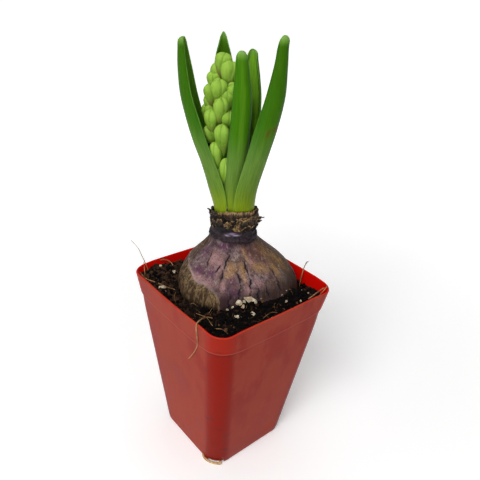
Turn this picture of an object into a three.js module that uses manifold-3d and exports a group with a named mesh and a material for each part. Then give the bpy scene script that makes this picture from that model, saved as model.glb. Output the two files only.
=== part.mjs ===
// A forced hyacinth in bud: a purple-skinned bulb half sunk in dark potting soil, in a tall
// square plastic pot, with five channelled leaves round a spike of tight green flower buds.
// Millimetres, +Z up. The origin is the middle of the pot's underside, and the pot's sides
// face X and Y. The plant is built in a frame of its own, turned about Z by PLANT_TURN. There
// a place is [sideways, frontwards, height]: the leaves fan out sideways, and one stands in
// front. A direction is in degrees: 0 is sideways to the right, 90 is to the front.
import * as THREE from "three";
import { mergeVertices } from "three/addons/utils/BufferGeometryUtils.js";
import Module from "manifold-3d";

const wasm = await Module();
wasm.setup();

// Driving dimensions.
const GAP = 0.3; // clearance between pieces that rest on each other
const POT_RIM = 76; // outside width of the rim
const POT_NECK = 71.8; // outside width just under the collar
const POT_BASE = 51.2; // outside width of the foot
const POT_HEIGHT = 99.4;
const POT_COLLAR = 14; // height of the flared collar
const POT_CORNER = 8.8; // outside radius of the upright corners
const POT_WALL = 1.2;
const POT_FLOOR = 1.6;
const PLANT_TURN = THREE.MathUtils.degToRad(48.9);
const BULB_WIDTH = 62.2; // 19 cm round, the largest size sold, and wider than it is deep
const BULB_DEPTH = 56;
const BULB_PLACE = [2.7, -4]; // of its widest level
const BULB_WIDEST = 94;
const BULB_FOOT = 64; // underside of the basal plate
const BULB_SHOULDER = 104; // above it the bulb draws over to its neck
const NECK_PLACE = [-1, -5];
const NECK_TOP = 124;
const SOCKET_RADIUS = 10.1; // the leaves stand inside the neck
const SOCKET_FLOOR = 118;
const SHOOT_FOOT = SOCKET_FLOOR + GAP;

const { lerp, smoothstep, mapLinear, degToRad } = THREE.MathUtils;

// A point of the plant.
const at = (sideways, frontwards, height) => new THREE.Vector3(sideways, -frontwards, height);

// A level direction from an angle in degrees.
const towards = (degrees) => at(Math.cos(degToRad(degrees)), Math.sin(degToRad(degrees)), 0);

// Numbers that only look random: the same every time.
function seeded(seed) {
  let state = seed;
  return () => {
    state = (state * 1664525 + 1013904223) % 4294967296;
    return state / 4294967296;
  };
}

// The row of values at a place along hand-set rows, smoothly through each of them.
function blend(rows, place) {
  const i = Math.min(Math.floor(place), rows.length - 2);
  const t = place - i;
  const row = (k) => rows[Math.max(0, Math.min(rows.length - 1, k))];
  return rows[0].map((_, column) => {
    const [a, b, c, d] = [-1, 0, 1, 2].map((k) => row(i + k)[column]);
    return b + 0.5 * t * (c - a + t * (2 * a - 5 * b + 4 * c - d + t * (3 * (b - c) + d - a)));
  });
}

// A closed skin through rings of points, each holding as many, with a fan across both ends.
// Seen from the last ring's end, the points run counterclockwise.
function closedSkin(rings) {
  const size = rings[0].length;
  const points = rings.flat();
  const faces = [];
  for (let r = 0; r + 1 < rings.length; r++)
    for (let i = 0; i < size; i++) {
      const a = r * size + i;
      const b = r * size + ((i + 1) % size);
      faces.push(a, b, b + size, a, b + size, a + size);
    }
  const middle = (ring) => ring.reduce((sum, p) => sum.add(p), new THREE.Vector3()).divideScalar(size);
  const start = points.push(middle(rings[0])) - 1;
  const end = points.push(middle(rings[rings.length - 1])) - 1;
  const last = (rings.length - 1) * size;
  for (let i = 0; i < size; i++) {
    const next = (i + 1) % size;
    faces.push(start, next, i);
    faces.push(end, last + i, last + next);
  }
  return new THREE.BufferGeometry().setFromPoints(points).setIndex(faces);
}

// A geometry as a solid that can be joined and cut, and back again.
function asSolid(geometry) {
  const bare = new THREE.BufferGeometry();
  bare.setAttribute("position", geometry.getAttribute("position"));
  bare.setIndex(geometry.getIndex());
  const merged = mergeVertices(bare, 1e-4);
  const mesh = new wasm.Mesh({
    numProp: 3,
    vertProperties: new Float32Array(merged.attributes.position.array),
    triVerts: new Uint32Array(merged.index.array),
    tolerance: 0.005,
  });
  return new wasm.Manifold(mesh);
}

// Of what joining and cutting leave, the largest body counts: loose scraps are dropped and
// sealed hollows are filled.
function asGeometry(solid) {
  const bodies = solid.decompose();
  const whole = bodies.reduce((a, b) => (b.volume() > a.volume() ? b : a));
  const { vertProperties, triVerts } = whole.getMesh();
  const geometry = new THREE.BufferGeometry();
  geometry.setAttribute("position", new THREE.BufferAttribute(new Float32Array(vertProperties), 3));
  geometry.setIndex(new THREE.BufferAttribute(new Uint32Array(triVerts), 1));
  geometry.computeVertexNormals();
  return geometry;
}

const joined = (geometries) => wasm.Manifold.union(geometries.map(asSolid));

// A round rod along a smooth line through points, its radius set along the way. The hollow
// that it lies in is the same rod, grown by a clearance on all sides.
function rod(points, radiusAt, { steps = 10, sides = 6, grow = 0 } = {}) {
  const line = new THREE.CatmullRomCurve3(points);
  const frames = line.computeFrenetFrames(steps, false);
  const rings = [];
  for (let s = 0; s <= steps; s++) {
    const radius = radiusAt(s / steps) + grow;
    const ring = [];
    const beyond = s === 0 ? -grow : s === steps ? grow : 0;
    for (let i = 0; i < sides; i++) {
      const turn = (2 * Math.PI * i) / sides;
      const p = line.getPointAt(s / steps).addScaledVector(frames.tangents[s], beyond);
      p.addScaledVector(frames.normals[s], radius * Math.cos(turn));
      p.addScaledVector(frames.binormals[s], radius * Math.sin(turn));
      ring.push(p);
    }
    rings.push(ring);
  }
  return closedSkin(rings);
}

// A level circle about a place of the plant.
const circle = (place, radius, height, sides = 36) =>
  Array.from({ length: sides }, (_, i) =>
    at(place[0], place[1], height).addScaledVector(towards((-360 * i) / sides), radius),
  );

// The pot: injection-moulded plastic, square with rounded corners, tapered, with a flared
// collar at the rim and a drain hole in each bottom corner.
const COLLAR_FOOT = POT_HEIGHT - POT_COLLAR;
const COLLAR_STEP = 0.5; // how far the collar stands out of the wall under it
const COLLAR_LEDGE = 0.6; // how far below the collar's foot its step shows on the inside
const FOOT_BEVEL = [0.6, 1.2]; // in and up
const RIM_BEVEL = [0.3, 0.5];
const DRAIN_RADIUS = 4.6;
const DRAIN_HEIGHT = 2.4;
const DRAIN_INSET = 4.4; // from the foot's edges to a drain's middle

// A level square with rounded corners.
function squareRing(halfWidth, corner, height, perCorner = 5) {
  const ring = [];
  for (let k = 0; k < 4; k++)
    for (let i = 0; i <= perCorner; i++) {
      const turn = (Math.PI / 2) * (k + i / perCorner);
      const x = (halfWidth - corner) * (k === 0 || k === 3 ? 1 : -1) + corner * Math.cos(turn);
      const y = (halfWidth - corner) * (k < 2 ? 1 : -1) + corner * Math.sin(turn);
      ring.push(new THREE.Vector3(x, y, height));
    }
  return ring;
}

// Half the pot's outside width at a height, below the collar or in it.
const bodyHalf = (height) => mapLinear(height, 0, COLLAR_FOOT, POT_BASE / 2, POT_NECK / 2);
const collarHalf = (height) =>
  mapLinear(height, COLLAR_FOOT, POT_HEIGHT, POT_NECK / 2 + COLLAR_STEP, POT_RIM / 2);

// The inside of the pot, drawn in by a clearance, from the floor up to the soil.
function potInside(height, clearance = 0) {
  const outside = height < COLLAR_FOOT ? bodyHalf(height) : collarHalf(height);
  return squareRing(outside - POT_WALL - clearance, POT_CORNER - POT_WALL, height);
}

function makePot() {
  const rings = [
    squareRing(bodyHalf(0) - FOOT_BEVEL[0], POT_CORNER, 0),
    squareRing(bodyHalf(FOOT_BEVEL[1]), POT_CORNER, FOOT_BEVEL[1]),
    squareRing(bodyHalf(COLLAR_FOOT), POT_CORNER, COLLAR_FOOT),
    squareRing(collarHalf(COLLAR_FOOT), POT_CORNER, COLLAR_FOOT + COLLAR_STEP),
    squareRing(POT_RIM / 2, POT_CORNER, POT_HEIGHT - RIM_BEVEL[1]),
    squareRing(POT_RIM / 2 - RIM_BEVEL[0], POT_CORNER, POT_HEIGHT),
    potInside(POT_HEIGHT, -RIM_BEVEL[0] / 2),
    potInside(POT_HEIGHT - RIM_BEVEL[1]),
    potInside(COLLAR_FOOT),
    potInside(COLLAR_FOOT - COLLAR_LEDGE),
    potInside(POT_FLOOR),
  ];
  let pot = asSolid(closedSkin(rings));
  for (const x of [-1, 1])
    for (const y of [-1, 1]) {
      const drain = new THREE.CylinderGeometry(DRAIN_RADIUS, DRAIN_RADIUS, 2 * DRAIN_HEIGHT, 20);
      const reach = POT_BASE / 2 - DRAIN_INSET;
      drain.rotateX(Math.PI / 2).translate(x * reach, y * reach, 0);
      pot = pot.subtract(asSolid(drain));
    }
  return asGeometry(pot);
}

// The bulb: onion-like, ribbed lengthwise under its papery skin, a little flattened from
// front to back, drawn in to a short neck that holds the leaves.
const BULB_PROFILE = [
  // height, share of the bulb's width
  [BULB_FOOT, 0.29],
  [65.6, 0.43],
  [69.5, 0.62],
  [75, 0.79],
  [81, 0.905],
  [87, 0.97],
  [BULB_WIDEST, 1],
  [98.5, 0.985],
  [102.5, 0.935],
  [106.5, 0.845],
  [110, 0.74],
  [113, 0.635],
  [115.6, 0.54],
  [117.8, 0.465],
  [119.6, 0.415],
  [121.6, 0.385],
  [NECK_TOP, 0.376],
];
const BULB_SIDES = 44;

function bulbRing([height, share], grow) {
  const up = smoothstep(height, BULB_SHOULDER, NECK_TOP);
  const full = smoothstep(share, 0.42, 0.9); // ribs and flattening fade out at the neck
  const ring = [];
  for (let i = 0; i < BULB_SIDES; i++) {
    const turn = (-360 * i) / BULB_SIDES;
    const narrow = 0.28 * Math.cos(degToRad(11 * turn + 3 * height));
    const broad = 0.22 * Math.sin(degToRad(5 * turn + 75));
    const out = towards(turn);
    out.multiplyScalar((share * BULB_WIDTH) / 2 + full * (narrow + broad) + grow);
    out.y *= lerp(1, BULB_DEPTH / BULB_WIDTH, full);
    const side = lerp(BULB_PLACE[0], NECK_PLACE[0], up);
    const front = lerp(BULB_PLACE[1], NECK_PLACE[1], up);
    ring.push(at(side, front, height + (height < BULB_WIDEST ? -grow : grow)).add(out));
  }
  return ring;
}

// The bulb without its socket. The hollow that it sits in is grown by a clearance.
const bulbSkin = (grow = 0) => closedSkin(BULB_PROFILE.map((level) => bulbRing(level, grow)));

function makeBulb() {
  const socket = [SOCKET_FLOOR, NECK_TOP + 1].map((z) => circle(NECK_PLACE, SOCKET_RADIUS, z));
  return asGeometry(asSolid(bulbSkin()).subtract(asSolid(closedSkin(socket))));
}

// The roots: fleshy strings from the basal plate down through the soil, one of them out of
// the front drain hole and round the pot's corner.
const ROOT_COUNT = 9;
const ROOT_RADIUS = 0.8;
const PLATE_RADIUS = 7.6;
const PLATE_TOP = BULB_FOOT - GAP;
const PLATE_THICK = 1.2;
const drainReach = Math.SQRT2 * (POT_BASE / 2 - DRAIN_INSET);
const cornerReach = Math.SQRT2 * (POT_BASE / 2 - POT_CORNER); // to the middle of its rounding
const drainTurn = 45 + THREE.MathUtils.radToDeg(PLANT_TURN); // its direction from the middle

function rootLines() {
  const draw = seeded(11);
  const lines = [];
  for (let i = 0; i < ROOT_COUNT; i++) {
    const turn = drainTurn + (360 * (i + 0.75 + 0.4 * draw())) / (ROOT_COUNT + 1);
    const spread = 9 + 5 * draw();
    const end = 10 + 16 * draw();
    const along = (radius, height, twist) => {
      const sunk = height / BULB_FOOT;
      const middle = at(BULB_PLACE[0] * sunk, BULB_PLACE[1] * sunk, height);
      return middle.addScaledVector(towards(turn + twist), radius);
    };
    lines.push([
      along(4.5, PLATE_TOP - PLATE_THICK / 2, 0),
      along(7, BULB_FOOT - 6, 0),
      along(spread, 42, 12),
      along(spread + 1.5, end + 9, -6),
      along(spread + 0.5, end, 8),
    ]);
  }
  const out = (reach, height) => at(0, 0, height).addScaledVector(towards(drainTurn), reach);
  const round = (turn, height) =>
    out(cornerReach, height).addScaledVector(towards(drainTurn + turn), POT_CORNER + 0.8);
  lines.push([
    at(BULB_PLACE[0], BULB_PLACE[1] + 4, PLATE_TOP - PLATE_THICK / 2),
    out(8, 50),
    out(17, 30),
    out(25, 11),
    out(drainReach - 1.6, 2.8),
    round(-16, 1),
    round(-2, 0.8),
    round(14, 0.7),
    round(32, 0.7),
    round(48, 0.8),
  ]);
  return lines;
}

function rootSkins(grow) {
  const disc = [PLATE_TOP - PLATE_THICK - grow, PLATE_TOP + grow];
  const plate = closedSkin(disc.map((z) => circle(BULB_PLACE, PLATE_RADIUS + grow, z, 20)));
  const thickness = (t) => ROOT_RADIUS * (1 - 0.35 * t);
  const lines = rootLines();
  const strings = lines.map((line) => rod(line, thickness, { steps: 2 * line.length, sides: 5, grow }));
  return [plate, ...strings];
}

// The soil: a plug of peat that fills the pot, uneven on top, banked up against the bulb,
// with lumps standing out of it. The bulb sits in its own hollow, and the roots in theirs.
const SOIL_MEAN = 93.4;
const SOIL_SHOULDER = 88; // up to here the plug follows the pot's wall
const SOIL_STEPS = 11; // rings of the top, from its edge to its middle
const SOIL_SIDES = 56;
const MOUNDS = [
  // sideways, frontwards, rise or fall, half its length and width, which way its length runs
  [17.5, 15.5, 8, 20, 6.8, -35],
  [-24, 13, -2.4, 9, 8, 0],
  [-36, -6, 4.4, 13, 12, 0],
  [34, -9, -1.8, 9, 9, 0],
];

function soilLevel(x, y) {
  const up = new THREE.Vector3(0, 0, 1);
  const p = new THREE.Vector3(x, y, 0).applyAxisAngle(up, -PLANT_TURN);
  let level = SOIL_MEAN;
  for (const [side, front, rise, length, width, turn] of MOUNDS) {
    const offset = p.clone().sub(at(side, front, 0));
    const along = offset.dot(towards(turn));
    const across = offset.dot(towards(turn + 90));
    level += rise * Math.exp(-((along / length) ** 4) - (across / width) ** 2);
  }
  const waves = (a, b, bend) =>
    Math.sin(a * x + bend * Math.sin(0.6 * a * y)) * Math.cos(b * y - bend * Math.sin(0.6 * b * x));
  return level + 0.9 * waves(0.71, 0.83, 1.6) + 0.6 * waves(1.9, 2.1, 2);
}

function makeSoil() {
  const edge = (height, share = 1) => {
    const outside = height < COLLAR_FOOT ? bodyHalf(height) : collarHalf(height);
    const half = (outside - POT_WALL - GAP) * share;
    const corner = (POT_CORNER - POT_WALL) * share;
    return Array.from({ length: SOIL_SIDES }, (_, i) => {
      const turn = (2 * Math.PI * i) / SOIL_SIDES;
      const [c, s] = [Math.abs(Math.cos(turn)), Math.abs(Math.sin(turn))];
      const flat = half / Math.max(c, s); // how far out the square's side or its rounding lies
      const inset = half - corner;
      const bow = Math.sqrt(Math.max(0, corner ** 2 - (inset * (c - s)) ** 2));
      const reach = Math.min(c, s) * flat > inset ? inset * (c + s) + bow : flat;
      return new THREE.Vector3(reach * Math.cos(turn), reach * Math.sin(turn), height);
    });
  };
  const below = COLLAR_FOOT - 0.01;
  const above = COLLAR_FOOT + COLLAR_LEDGE; // clear of the step inside the collar
  const rings = [POT_FLOOR + GAP, below, above, SOIL_SHOULDER].map((z) => edge(z));
  for (let s = 0; s < SOIL_STEPS; s++) {
    const ring = edge(SOIL_MEAN - 2, (1 - s / SOIL_STEPS) ** 0.8);
    for (const p of ring) p.z = soilLevel(p.x, p.y);
    rings.push(ring);
  }
  const turned = (solid) => solid.rotate([0, 0, THREE.MathUtils.radToDeg(PLANT_TURN)]);
  const hollow = joined([bulbSkin(GAP), ...rootSkins(GAP)]);
  return asGeometry(asSolid(closedSkin(rings)).subtract(turned(hollow)));
}

// The leaves: thick straps, channelled lengthwise, wrapped round each other in the neck, with
// hooded tips. A station is [height, the channel's axis sideways and frontwards, its radius,
// how far the strap reaches round it each way in degrees, which way its back looks].
const LEAF_THICK = 1.6;
const MARGIN_THICK = 0.7;
const LEAF_RINGS = 22;
const LEAF_POINTS = 6; // across each face
const OUTER_WRAP = [...NECK_PLACE, 8.9];
const INNER_WRAP = [...NECK_PLACE, 6.9];

const LEAVES = {
  leaf_left: [
    [SHOOT_FOOT, ...OUTER_WRAP, 58, 180],
    [128, ...OUTER_WRAP, 58, 180],
    [136, -1.4, -5, 8.9, 58, 178],
    [147, -4.5, -5, 9.1, 60, 172],
    [158.5, -9.9, -4.8, 7.4, 68, 176],
    [169, -14.7, -4.6, 6.8, 76, 181],
    [180, -19, -4.4, 6.1, 83, 186],
    [190, -22.5, -4.2, 5.1, 88, 189],
    [201, -24.9, -4, 3.8, 92, 191],
    [209, -26.3, -4, 2.4, 96, 192],
    [213.3, -26.9, -4, 1, 100, 192],
  ],
  leaf_right: [
    [SHOOT_FOOT, ...OUTER_WRAP, 57, 36],
    [128, ...OUTER_WRAP, 57, 36],
    [136, ...OUTER_WRAP, 58, 36],
    [149, 1.2, 0.2, 7.3, 67, 40],
    [165, 5.4, 3.2, 6.4, 72, 46],
    [179, 8.9, 5, 5.9, 76, 50],
    [193, 12, 6.7, 4.7, 80, 52],
    [205.5, 13.6, 7.4, 3.2, 86, 54],
    [212.5, 14, 7.5, 2.4, 92, 56],
    [216.6, 15, 7.8, 1.1, 98, 58],
  ],
  leaf_front: [
    [SHOOT_FOOT, ...INNER_WRAP, 40, 88],
    [128, ...INNER_WRAP, 40, 88],
    [136, -1.1, -4.5, 6.5, 44, 88],
    [149, -1.4, -0.6, 4.9, 60, 88],
    [165, -1.3, 2.7, 4.7, 75, 87],
    [180, -0.8, 4.7, 4.3, 80, 87],
    [190, -0.7, 5.6, 4, 84, 87],
    [201, -1.1, 6.6, 3.1, 88, 87],
    [207, -1.8, 7.2, 2.1, 92, 87],
    [209.8, -2.2, 7.6, 1, 96, 87],
  ],
  leaf_back_right: [
    [SHOOT_FOOT, ...INNER_WRAP, 38, 315],
    [128, ...INNER_WRAP, 38, 315],
    [136, -0.9, -5.4, 6.5, 40, 313],
    [150, 0.4, -5.9, 6, 48, 307],
    [170, 1.9, -5.6, 5.7, 56, 302],
    [188, 2.2, -5, 5.2, 64, 300],
    [198.5, 1.9, -4.8, 4.3, 72, 299],
    [206, 2.2, -5, 2.6, 84, 298],
    [209.6, 2.6, -5.2, 1.1, 92, 298],
  ],
  leaf_back: [
    [SHOOT_FOOT, ...OUTER_WRAP, 42, 287],
    [128, ...OUTER_WRAP, 42, 287],
    [136, -1.5, -5.2, 8.9, 42, 283],
    [150, -3.4, -7.3, 8.5, 43, 272],
    [170, -6.4, -8.8, 7.7, 52, 270],
    [190, -9, -9.6, 6.4, 62, 269],
    [204, -9.9, -10, 4.2, 69, 268],
    [211, -10.3, -10.2, 2.2, 76, 268],
    [215.5, -10.6, -10.3, 0.7, 84, 268],
  ],
};

function leafRing([height, side, front, radius, reach, facing]) {
  const ring = [];
  const thick = Math.min(LEAF_THICK, 0.9 * radius);
  for (const face of [1, -1])
    for (let i = 0; i < LEAF_POINTS; i++) {
      const share = face * (1 - (2 * i) / (LEAF_POINTS - 1)); // from margin to margin and back
      const half = (MARGIN_THICK + (thick - MARGIN_THICK) * (1 - share ** 2)) / 2;
      const out = towards(facing + share * reach).multiplyScalar(radius + face * half);
      ring.push(at(side, front, height).add(out));
    }
  return ring;
}

function makeLeaf(stations) {
  const rings = [];
  for (let r = 0; r <= LEAF_RINGS; r++)
    rings.push(leafRing(blend(stations, ((stations.length - 1) * r) / LEAF_RINGS)));
  return asGeometry(asSolid(closedSkin(rings)));
}

// The flower spike: a fleshy scape that leans as it rises, clothed from the leaves' mouth to
// the top in closed buds. Each bud is set a golden angle on from the one under it.
const SCAPE = [
  // height, sideways, frontwards, radius of the scape, how far its buds' tips stand out
  [SHOOT_FOOT, -1.1, -5, 4.6, 0],
  [136, -2, -5, 4.6, 0],
  [150, -4.2, -5, 4.4, 5.6],
  [170, -7.3, -5, 4, 8],
  [186, -9, -5, 3.6, 8.4],
  [198, -9.4, -5, 2.8, 6],
  [204, -9.3, -5, 2, 3.6],
  [209, -9.2, -5, 1, 1.2],
];
const BUDS = 44;
const BUD_FIRST = 145;
const BUD_LAST = 202;
const BUD_PHASE = 60;
const BUD_OVERHANG = 1.9; // a bud's widest part stands out past its tip
const SCAPE_TOP = 206;
const GOLDEN_ANGLE = 137.508;
const BUD_LENGTH = 13.5;
const BUD_RADIUS = 3.9;
const BUD_SIDES = 8;
const BUD_PROFILE = [
  // share of the length, share of the radius
  [0, 0.34],
  [0.22, 0.6],
  [0.48, 0.92],
  [0.72, 1],
  [0.9, 0.72],
  [1, 0.24],
];

// The scape's row of values at a height.
function scapeAt(height) {
  let k = 0;
  while (k < SCAPE.length - 2 && SCAPE[k + 1][0] < height) k++;
  return blend(SCAPE, k + (height - SCAPE[k][0]) / (SCAPE[k + 1][0] - SCAPE[k][0]));
}

// A bud between its foot and its tip, three-lobed, because three outer petals close over it.
function budSkin(foot, tip, radius, roll) {
  const along = tip.clone().sub(foot);
  const across = new THREE.Vector3(0, 0, 1).cross(along).normalize();
  const up = along.clone().normalize().cross(across);
  return closedSkin(
    BUD_PROFILE.map(([share, width]) =>
      Array.from({ length: BUD_SIDES }, (_, i) => {
        const turn = (2 * Math.PI * i) / BUD_SIDES;
        const lobed = radius * width * (1 + 0.07 * Math.cos(3 * (turn + roll)));
        const p = foot.clone().addScaledVector(along, share);
        p.addScaledVector(across, lobed * Math.cos(turn));
        return p.addScaledVector(up, lobed * Math.sin(turn));
      }),
    ),
  );
}

function makeSpike() {
  const draw = seeded(5);
  const heights = Array.from({ length: 10 }, (_, i) => lerp(SHOOT_FOOT, SCAPE_TOP, i / 9));
  const rings = heights.map((z) => {
    const [, side, front, radius] = scapeAt(z);
    return circle([side, front], radius, z, 10);
  });
  const skins = [closedSkin(rings)];
  for (let i = 0; i < BUDS; i++) {
    const share = i / (BUDS - 1);
    const middle = lerp(BUD_FIRST, BUD_LAST, share ** 0.9);
    const length = BUD_LENGTH * lerp(1, 0.8, smoothstep(share, 0.7, 1)) * (0.95 + 0.1 * draw());
    const direction = towards(BUD_PHASE + GOLDEN_ANGLE * i);
    const place = (height, out) => {
      const [, side, front] = scapeAt(height);
      return at(side, front, height).addScaledVector(direction, out);
    };
    const reach = scapeAt(middle)[4];
    const foot = place(middle - 0.52 * length, 0.28 * reach);
    const tip = place(middle + 0.48 * length, Math.max(0.5, reach - BUD_OVERHANG));
    skins.push(budSkin(foot, tip, BUD_RADIUS * lerp(0.88, 1, draw()), draw() * 2));
  }
  return asGeometry(joined(skins));
}

// The neck's dry scales: the withered tops of the bulb's skins, a torn collar round the
// leaves, with flakes curling off it.
const SCALE_FOOT = NECK_TOP + GAP;
const SCALE_SIDES = 40;
const SCALE_TOP = 134.8; // at the sides: it is higher in front and lower behind
const SCALE_SLOPE = 3.4;
const SCALE_RADIUS = 11.6;
const THROAT_TOP = [142, 11.7]; // height and radius: the throat widens above the neck
const THROAT_BEND = 134;
const FLAKE_ROOT = 10.7; // how far from the neck's middle a flake is rooted
const FLAKE_HALF = 0.4; // half its thickness
const FLAKES = [
  // direction, height of the foot, length, width, how far it leans out, in degrees
  [2, 128, 6.5, 4.2, 62],
  [24, 130.5, 6, 3.6, 24],
  [58, 126.5, 7, 4.6, 20],
  [84, 131, 6, 5, 15],
  [112, 127, 7.5, 4.4, 22],
  [140, 130, 7, 4, 26],
  [176, 131, 6.5, 3.4, 34],
  [205, 127.5, 6.5, 4.4, 24],
  [236, 130.5, 6, 4, 28],
  [268, 128, 7, 4.6, 20],
  [300, 131, 6, 3.8, 30],
  [330, 127, 6.5, 4.4, 22],
];

function flakeSkin([facing, foot, length, width, lean]) {
  const out = towards(facing);
  const across = towards(facing + 90);
  const rings = [];
  for (let s = 0; s <= 4; s++) {
    const t = s / 4;
    const tilt = degToRad(lean * (0.3 + 0.9 * t));
    const centre = at(...NECK_PLACE, foot + length * t * Math.cos(tilt));
    centre.addScaledVector(out, FLAKE_ROOT + length * t * Math.sin(tilt));
    const half = (width / 2) * (1 - 0.72 * t ** 2);
    const normal = out.clone().multiplyScalar(Math.cos(tilt));
    normal.z -= Math.sin(tilt);
    const corner = (a, n) =>
      centre.clone().addScaledVector(across, a * half).addScaledVector(normal, n * FLAKE_HALF);
    rings.push([corner(1, 1), corner(-1, 1), corner(-1, -1), corner(1, -1)]);
  }
  return closedSkin(rings);
}

function makeNeckScales() {
  const levels = [0, 0.12, 0.35, 0.6, 0.85, 1];
  const rings = levels.map((share) =>
    Array.from({ length: SCALE_SIDES }, (_, i) => {
      const turn = (-360 * i) / SCALE_SIDES;
      const front = Math.sin(degToRad(turn));
      const torn = 0.9 * Math.sin(degToRad(5 * turn + 40)) + 0.8 * Math.sin(degToRad(13 * turn));
      const top = SCALE_TOP + SCALE_SLOPE * front + torn;
      const crease = 0.25 * Math.sin(degToRad(10 * turn + 300 * share));
      const radius = SCALE_RADIUS - 0.3 * smoothstep(share, 0, 0.6) + 0.5 * share ** 3 + crease;
      return at(...NECK_PLACE, lerp(SCALE_FOOT, top, share)).addScaledVector(towards(turn), radius);
    }),
  );
  const throat = [
    [SCALE_FOOT - 1, SOCKET_RADIUS],
    [THROAT_BEND, SOCKET_RADIUS],
    THROAT_TOP,
  ];
  const hole = closedSkin(throat.map(([z, radius]) => circle(NECK_PLACE, radius, z)));
  const collar = asSolid(closedSkin(rings)).add(joined(FLAKES.map(flakeSkin)));
  return asGeometry(collar.subtract(asSolid(hole)));
}

// The pieces, each with its own finish.
const FINISH = {
  plastic: { color: "#a8322a", roughness: 0.42 },
  soil: { color: "#1d1613", roughness: 0.95 },
  root: { color: "#cdb58c", roughness: 0.7 },
  skin: { color: "#5c3b52", roughness: 0.6 },
  scale: { color: "#5b4630", roughness: 0.85 },
  leaf: { color: "#3c7714", roughness: 0.4 },
  bud: { color: "#96b746", roughness: 0.5 },
};

function piece(name, geometry, finish) {
  const material = new THREE.MeshStandardMaterial({ ...FINISH[finish], metalness: 0 });
  const mesh = new THREE.Mesh(geometry, material);
  mesh.name = name;
  return mesh;
}

const plant = new THREE.Group();
plant.rotation.z = PLANT_TURN;
plant.add(piece("bulb", makeBulb(), "skin"));
plant.add(piece("roots", asGeometry(joined(rootSkins(0))), "root"));
plant.add(piece("neck_scales", makeNeckScales(), "scale"));
for (const [name, stations] of Object.entries(LEAVES))
  plant.add(piece(name, makeLeaf(stations), "leaf"));
plant.add(piece("flower_spike", makeSpike(), "bud"));

const hyacinth = new THREE.Group();
hyacinth.add(piece("pot", makePot(), "plastic"));
hyacinth.add(piece("soil", makeSoil(), "soil"));
hyacinth.add(plant);

export default hyacinth;
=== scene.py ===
# A forced hyacinth in bud in its square plastic pot, dressed for a studio picture.
import math
import random

import bmesh
import bpy
import numpy as np
from mathutils import Matrix, Vector, noise


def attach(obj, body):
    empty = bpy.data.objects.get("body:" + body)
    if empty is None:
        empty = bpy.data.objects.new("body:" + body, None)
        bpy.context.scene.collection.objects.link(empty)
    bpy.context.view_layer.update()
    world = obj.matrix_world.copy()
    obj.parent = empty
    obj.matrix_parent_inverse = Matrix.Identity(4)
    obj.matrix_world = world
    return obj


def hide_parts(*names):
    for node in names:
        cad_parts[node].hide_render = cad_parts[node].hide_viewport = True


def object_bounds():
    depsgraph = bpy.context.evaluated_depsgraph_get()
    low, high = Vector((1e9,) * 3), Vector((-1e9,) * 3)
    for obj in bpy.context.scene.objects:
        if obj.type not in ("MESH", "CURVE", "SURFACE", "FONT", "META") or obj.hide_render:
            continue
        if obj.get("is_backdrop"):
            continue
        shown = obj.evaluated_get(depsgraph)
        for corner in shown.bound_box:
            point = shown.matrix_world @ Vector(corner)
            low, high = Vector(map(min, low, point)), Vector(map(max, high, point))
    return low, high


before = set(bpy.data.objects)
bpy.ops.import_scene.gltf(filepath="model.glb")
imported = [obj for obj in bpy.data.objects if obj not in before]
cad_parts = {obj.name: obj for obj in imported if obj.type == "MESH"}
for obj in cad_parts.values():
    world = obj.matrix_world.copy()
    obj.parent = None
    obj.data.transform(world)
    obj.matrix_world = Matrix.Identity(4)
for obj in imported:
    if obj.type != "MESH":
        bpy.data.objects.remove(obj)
cad_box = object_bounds()

# The pot.
# Injection-moulded plastic, square with rounded corners, and thin tapered walls. A flared
# collar stiffens the rim, and a drain hole is cut out of each bottom corner. The flat sides
# carry a pale painted sheen that stands for their hazy reflection, and the corners keep
# their deep colour.
MM = 0.001
POT_RIM = 76.0
POT_NECK = 71.8
POT_BASE = 51.2
POT_HEIGHT = 99.4
POT_COLLAR = 14.0
POT_CORNER = 8.8
POT_WALL = 1.2
POT_FLOOR = 1.6
COLLAR_FOOT = POT_HEIGHT - POT_COLLAR
COLLAR_STEP = 0.5
DRAIN_RADIUS = 4.6
DRAIN_HEIGHT = 2.4
DRAIN_INSET = 4.4
CORNER_POINTS = 14
SIDE_POINTS = 12
# How far inside a side's line a corner starts to count, and where it counts in full.
CORNER_START, CORNER_FULL = 15, 4
# How far each side bows out at the rim, and how far the collar's foot and the rim are lifted
# at these heights, all along and more at the corners.
POT_BOWS = (0.2, 0.2, 0.9, 0.4)
LIFT_AT = (0, COLLAR_FOOT - 8, COLLAR_FOOT - 1.2, COLLAR_FOOT + 0.8, POT_HEIGHT - 2, POT_HEIGHT)
SIDE_LIFT = (0, 0, 1.0, 1.0, 0, 0)
CORNER_LIFT = (0, 0, 1.2, 1.2, -0.7, -0.7)


class Value:
    """A socket's value. Python's operators on it add Math nodes to its tree."""

    def __init__(self, tree, socket):
        self.tree = tree
        self.socket = socket

    def maths(self, operation, other=0.0, clamp=False):
        settings = {"operation": operation, "use_clamp": clamp}
        return self.tree.node("ShaderNodeMath", settings, [self, other])

    def __add__(self, other):
        return self.maths("ADD", other)

    def __sub__(self, other):
        return self.maths("SUBTRACT", other)

    def __rsub__(self, other):
        return self.tree.node("ShaderNodeMath", {"operation": "SUBTRACT"}, [other, self])

    def __mul__(self, other):
        return self.maths("MULTIPLY", other)

    def __pow__(self, other):
        return self.maths("POWER", other)

    __radd__ = __add__
    __rmul__ = __mul__

    def clamped(self):
        return self.maths("ADD", clamp=True)

    def between(self, low, high):
        """0 below low and 1 above high, or the other way round if low is the larger."""
        sockets = {"Value": self, "From Min": low, "From Max": high}
        return self.tree.node("ShaderNodeMapRange", {"interpolation_type": "SMOOTHSTEP"}, sockets)


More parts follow.
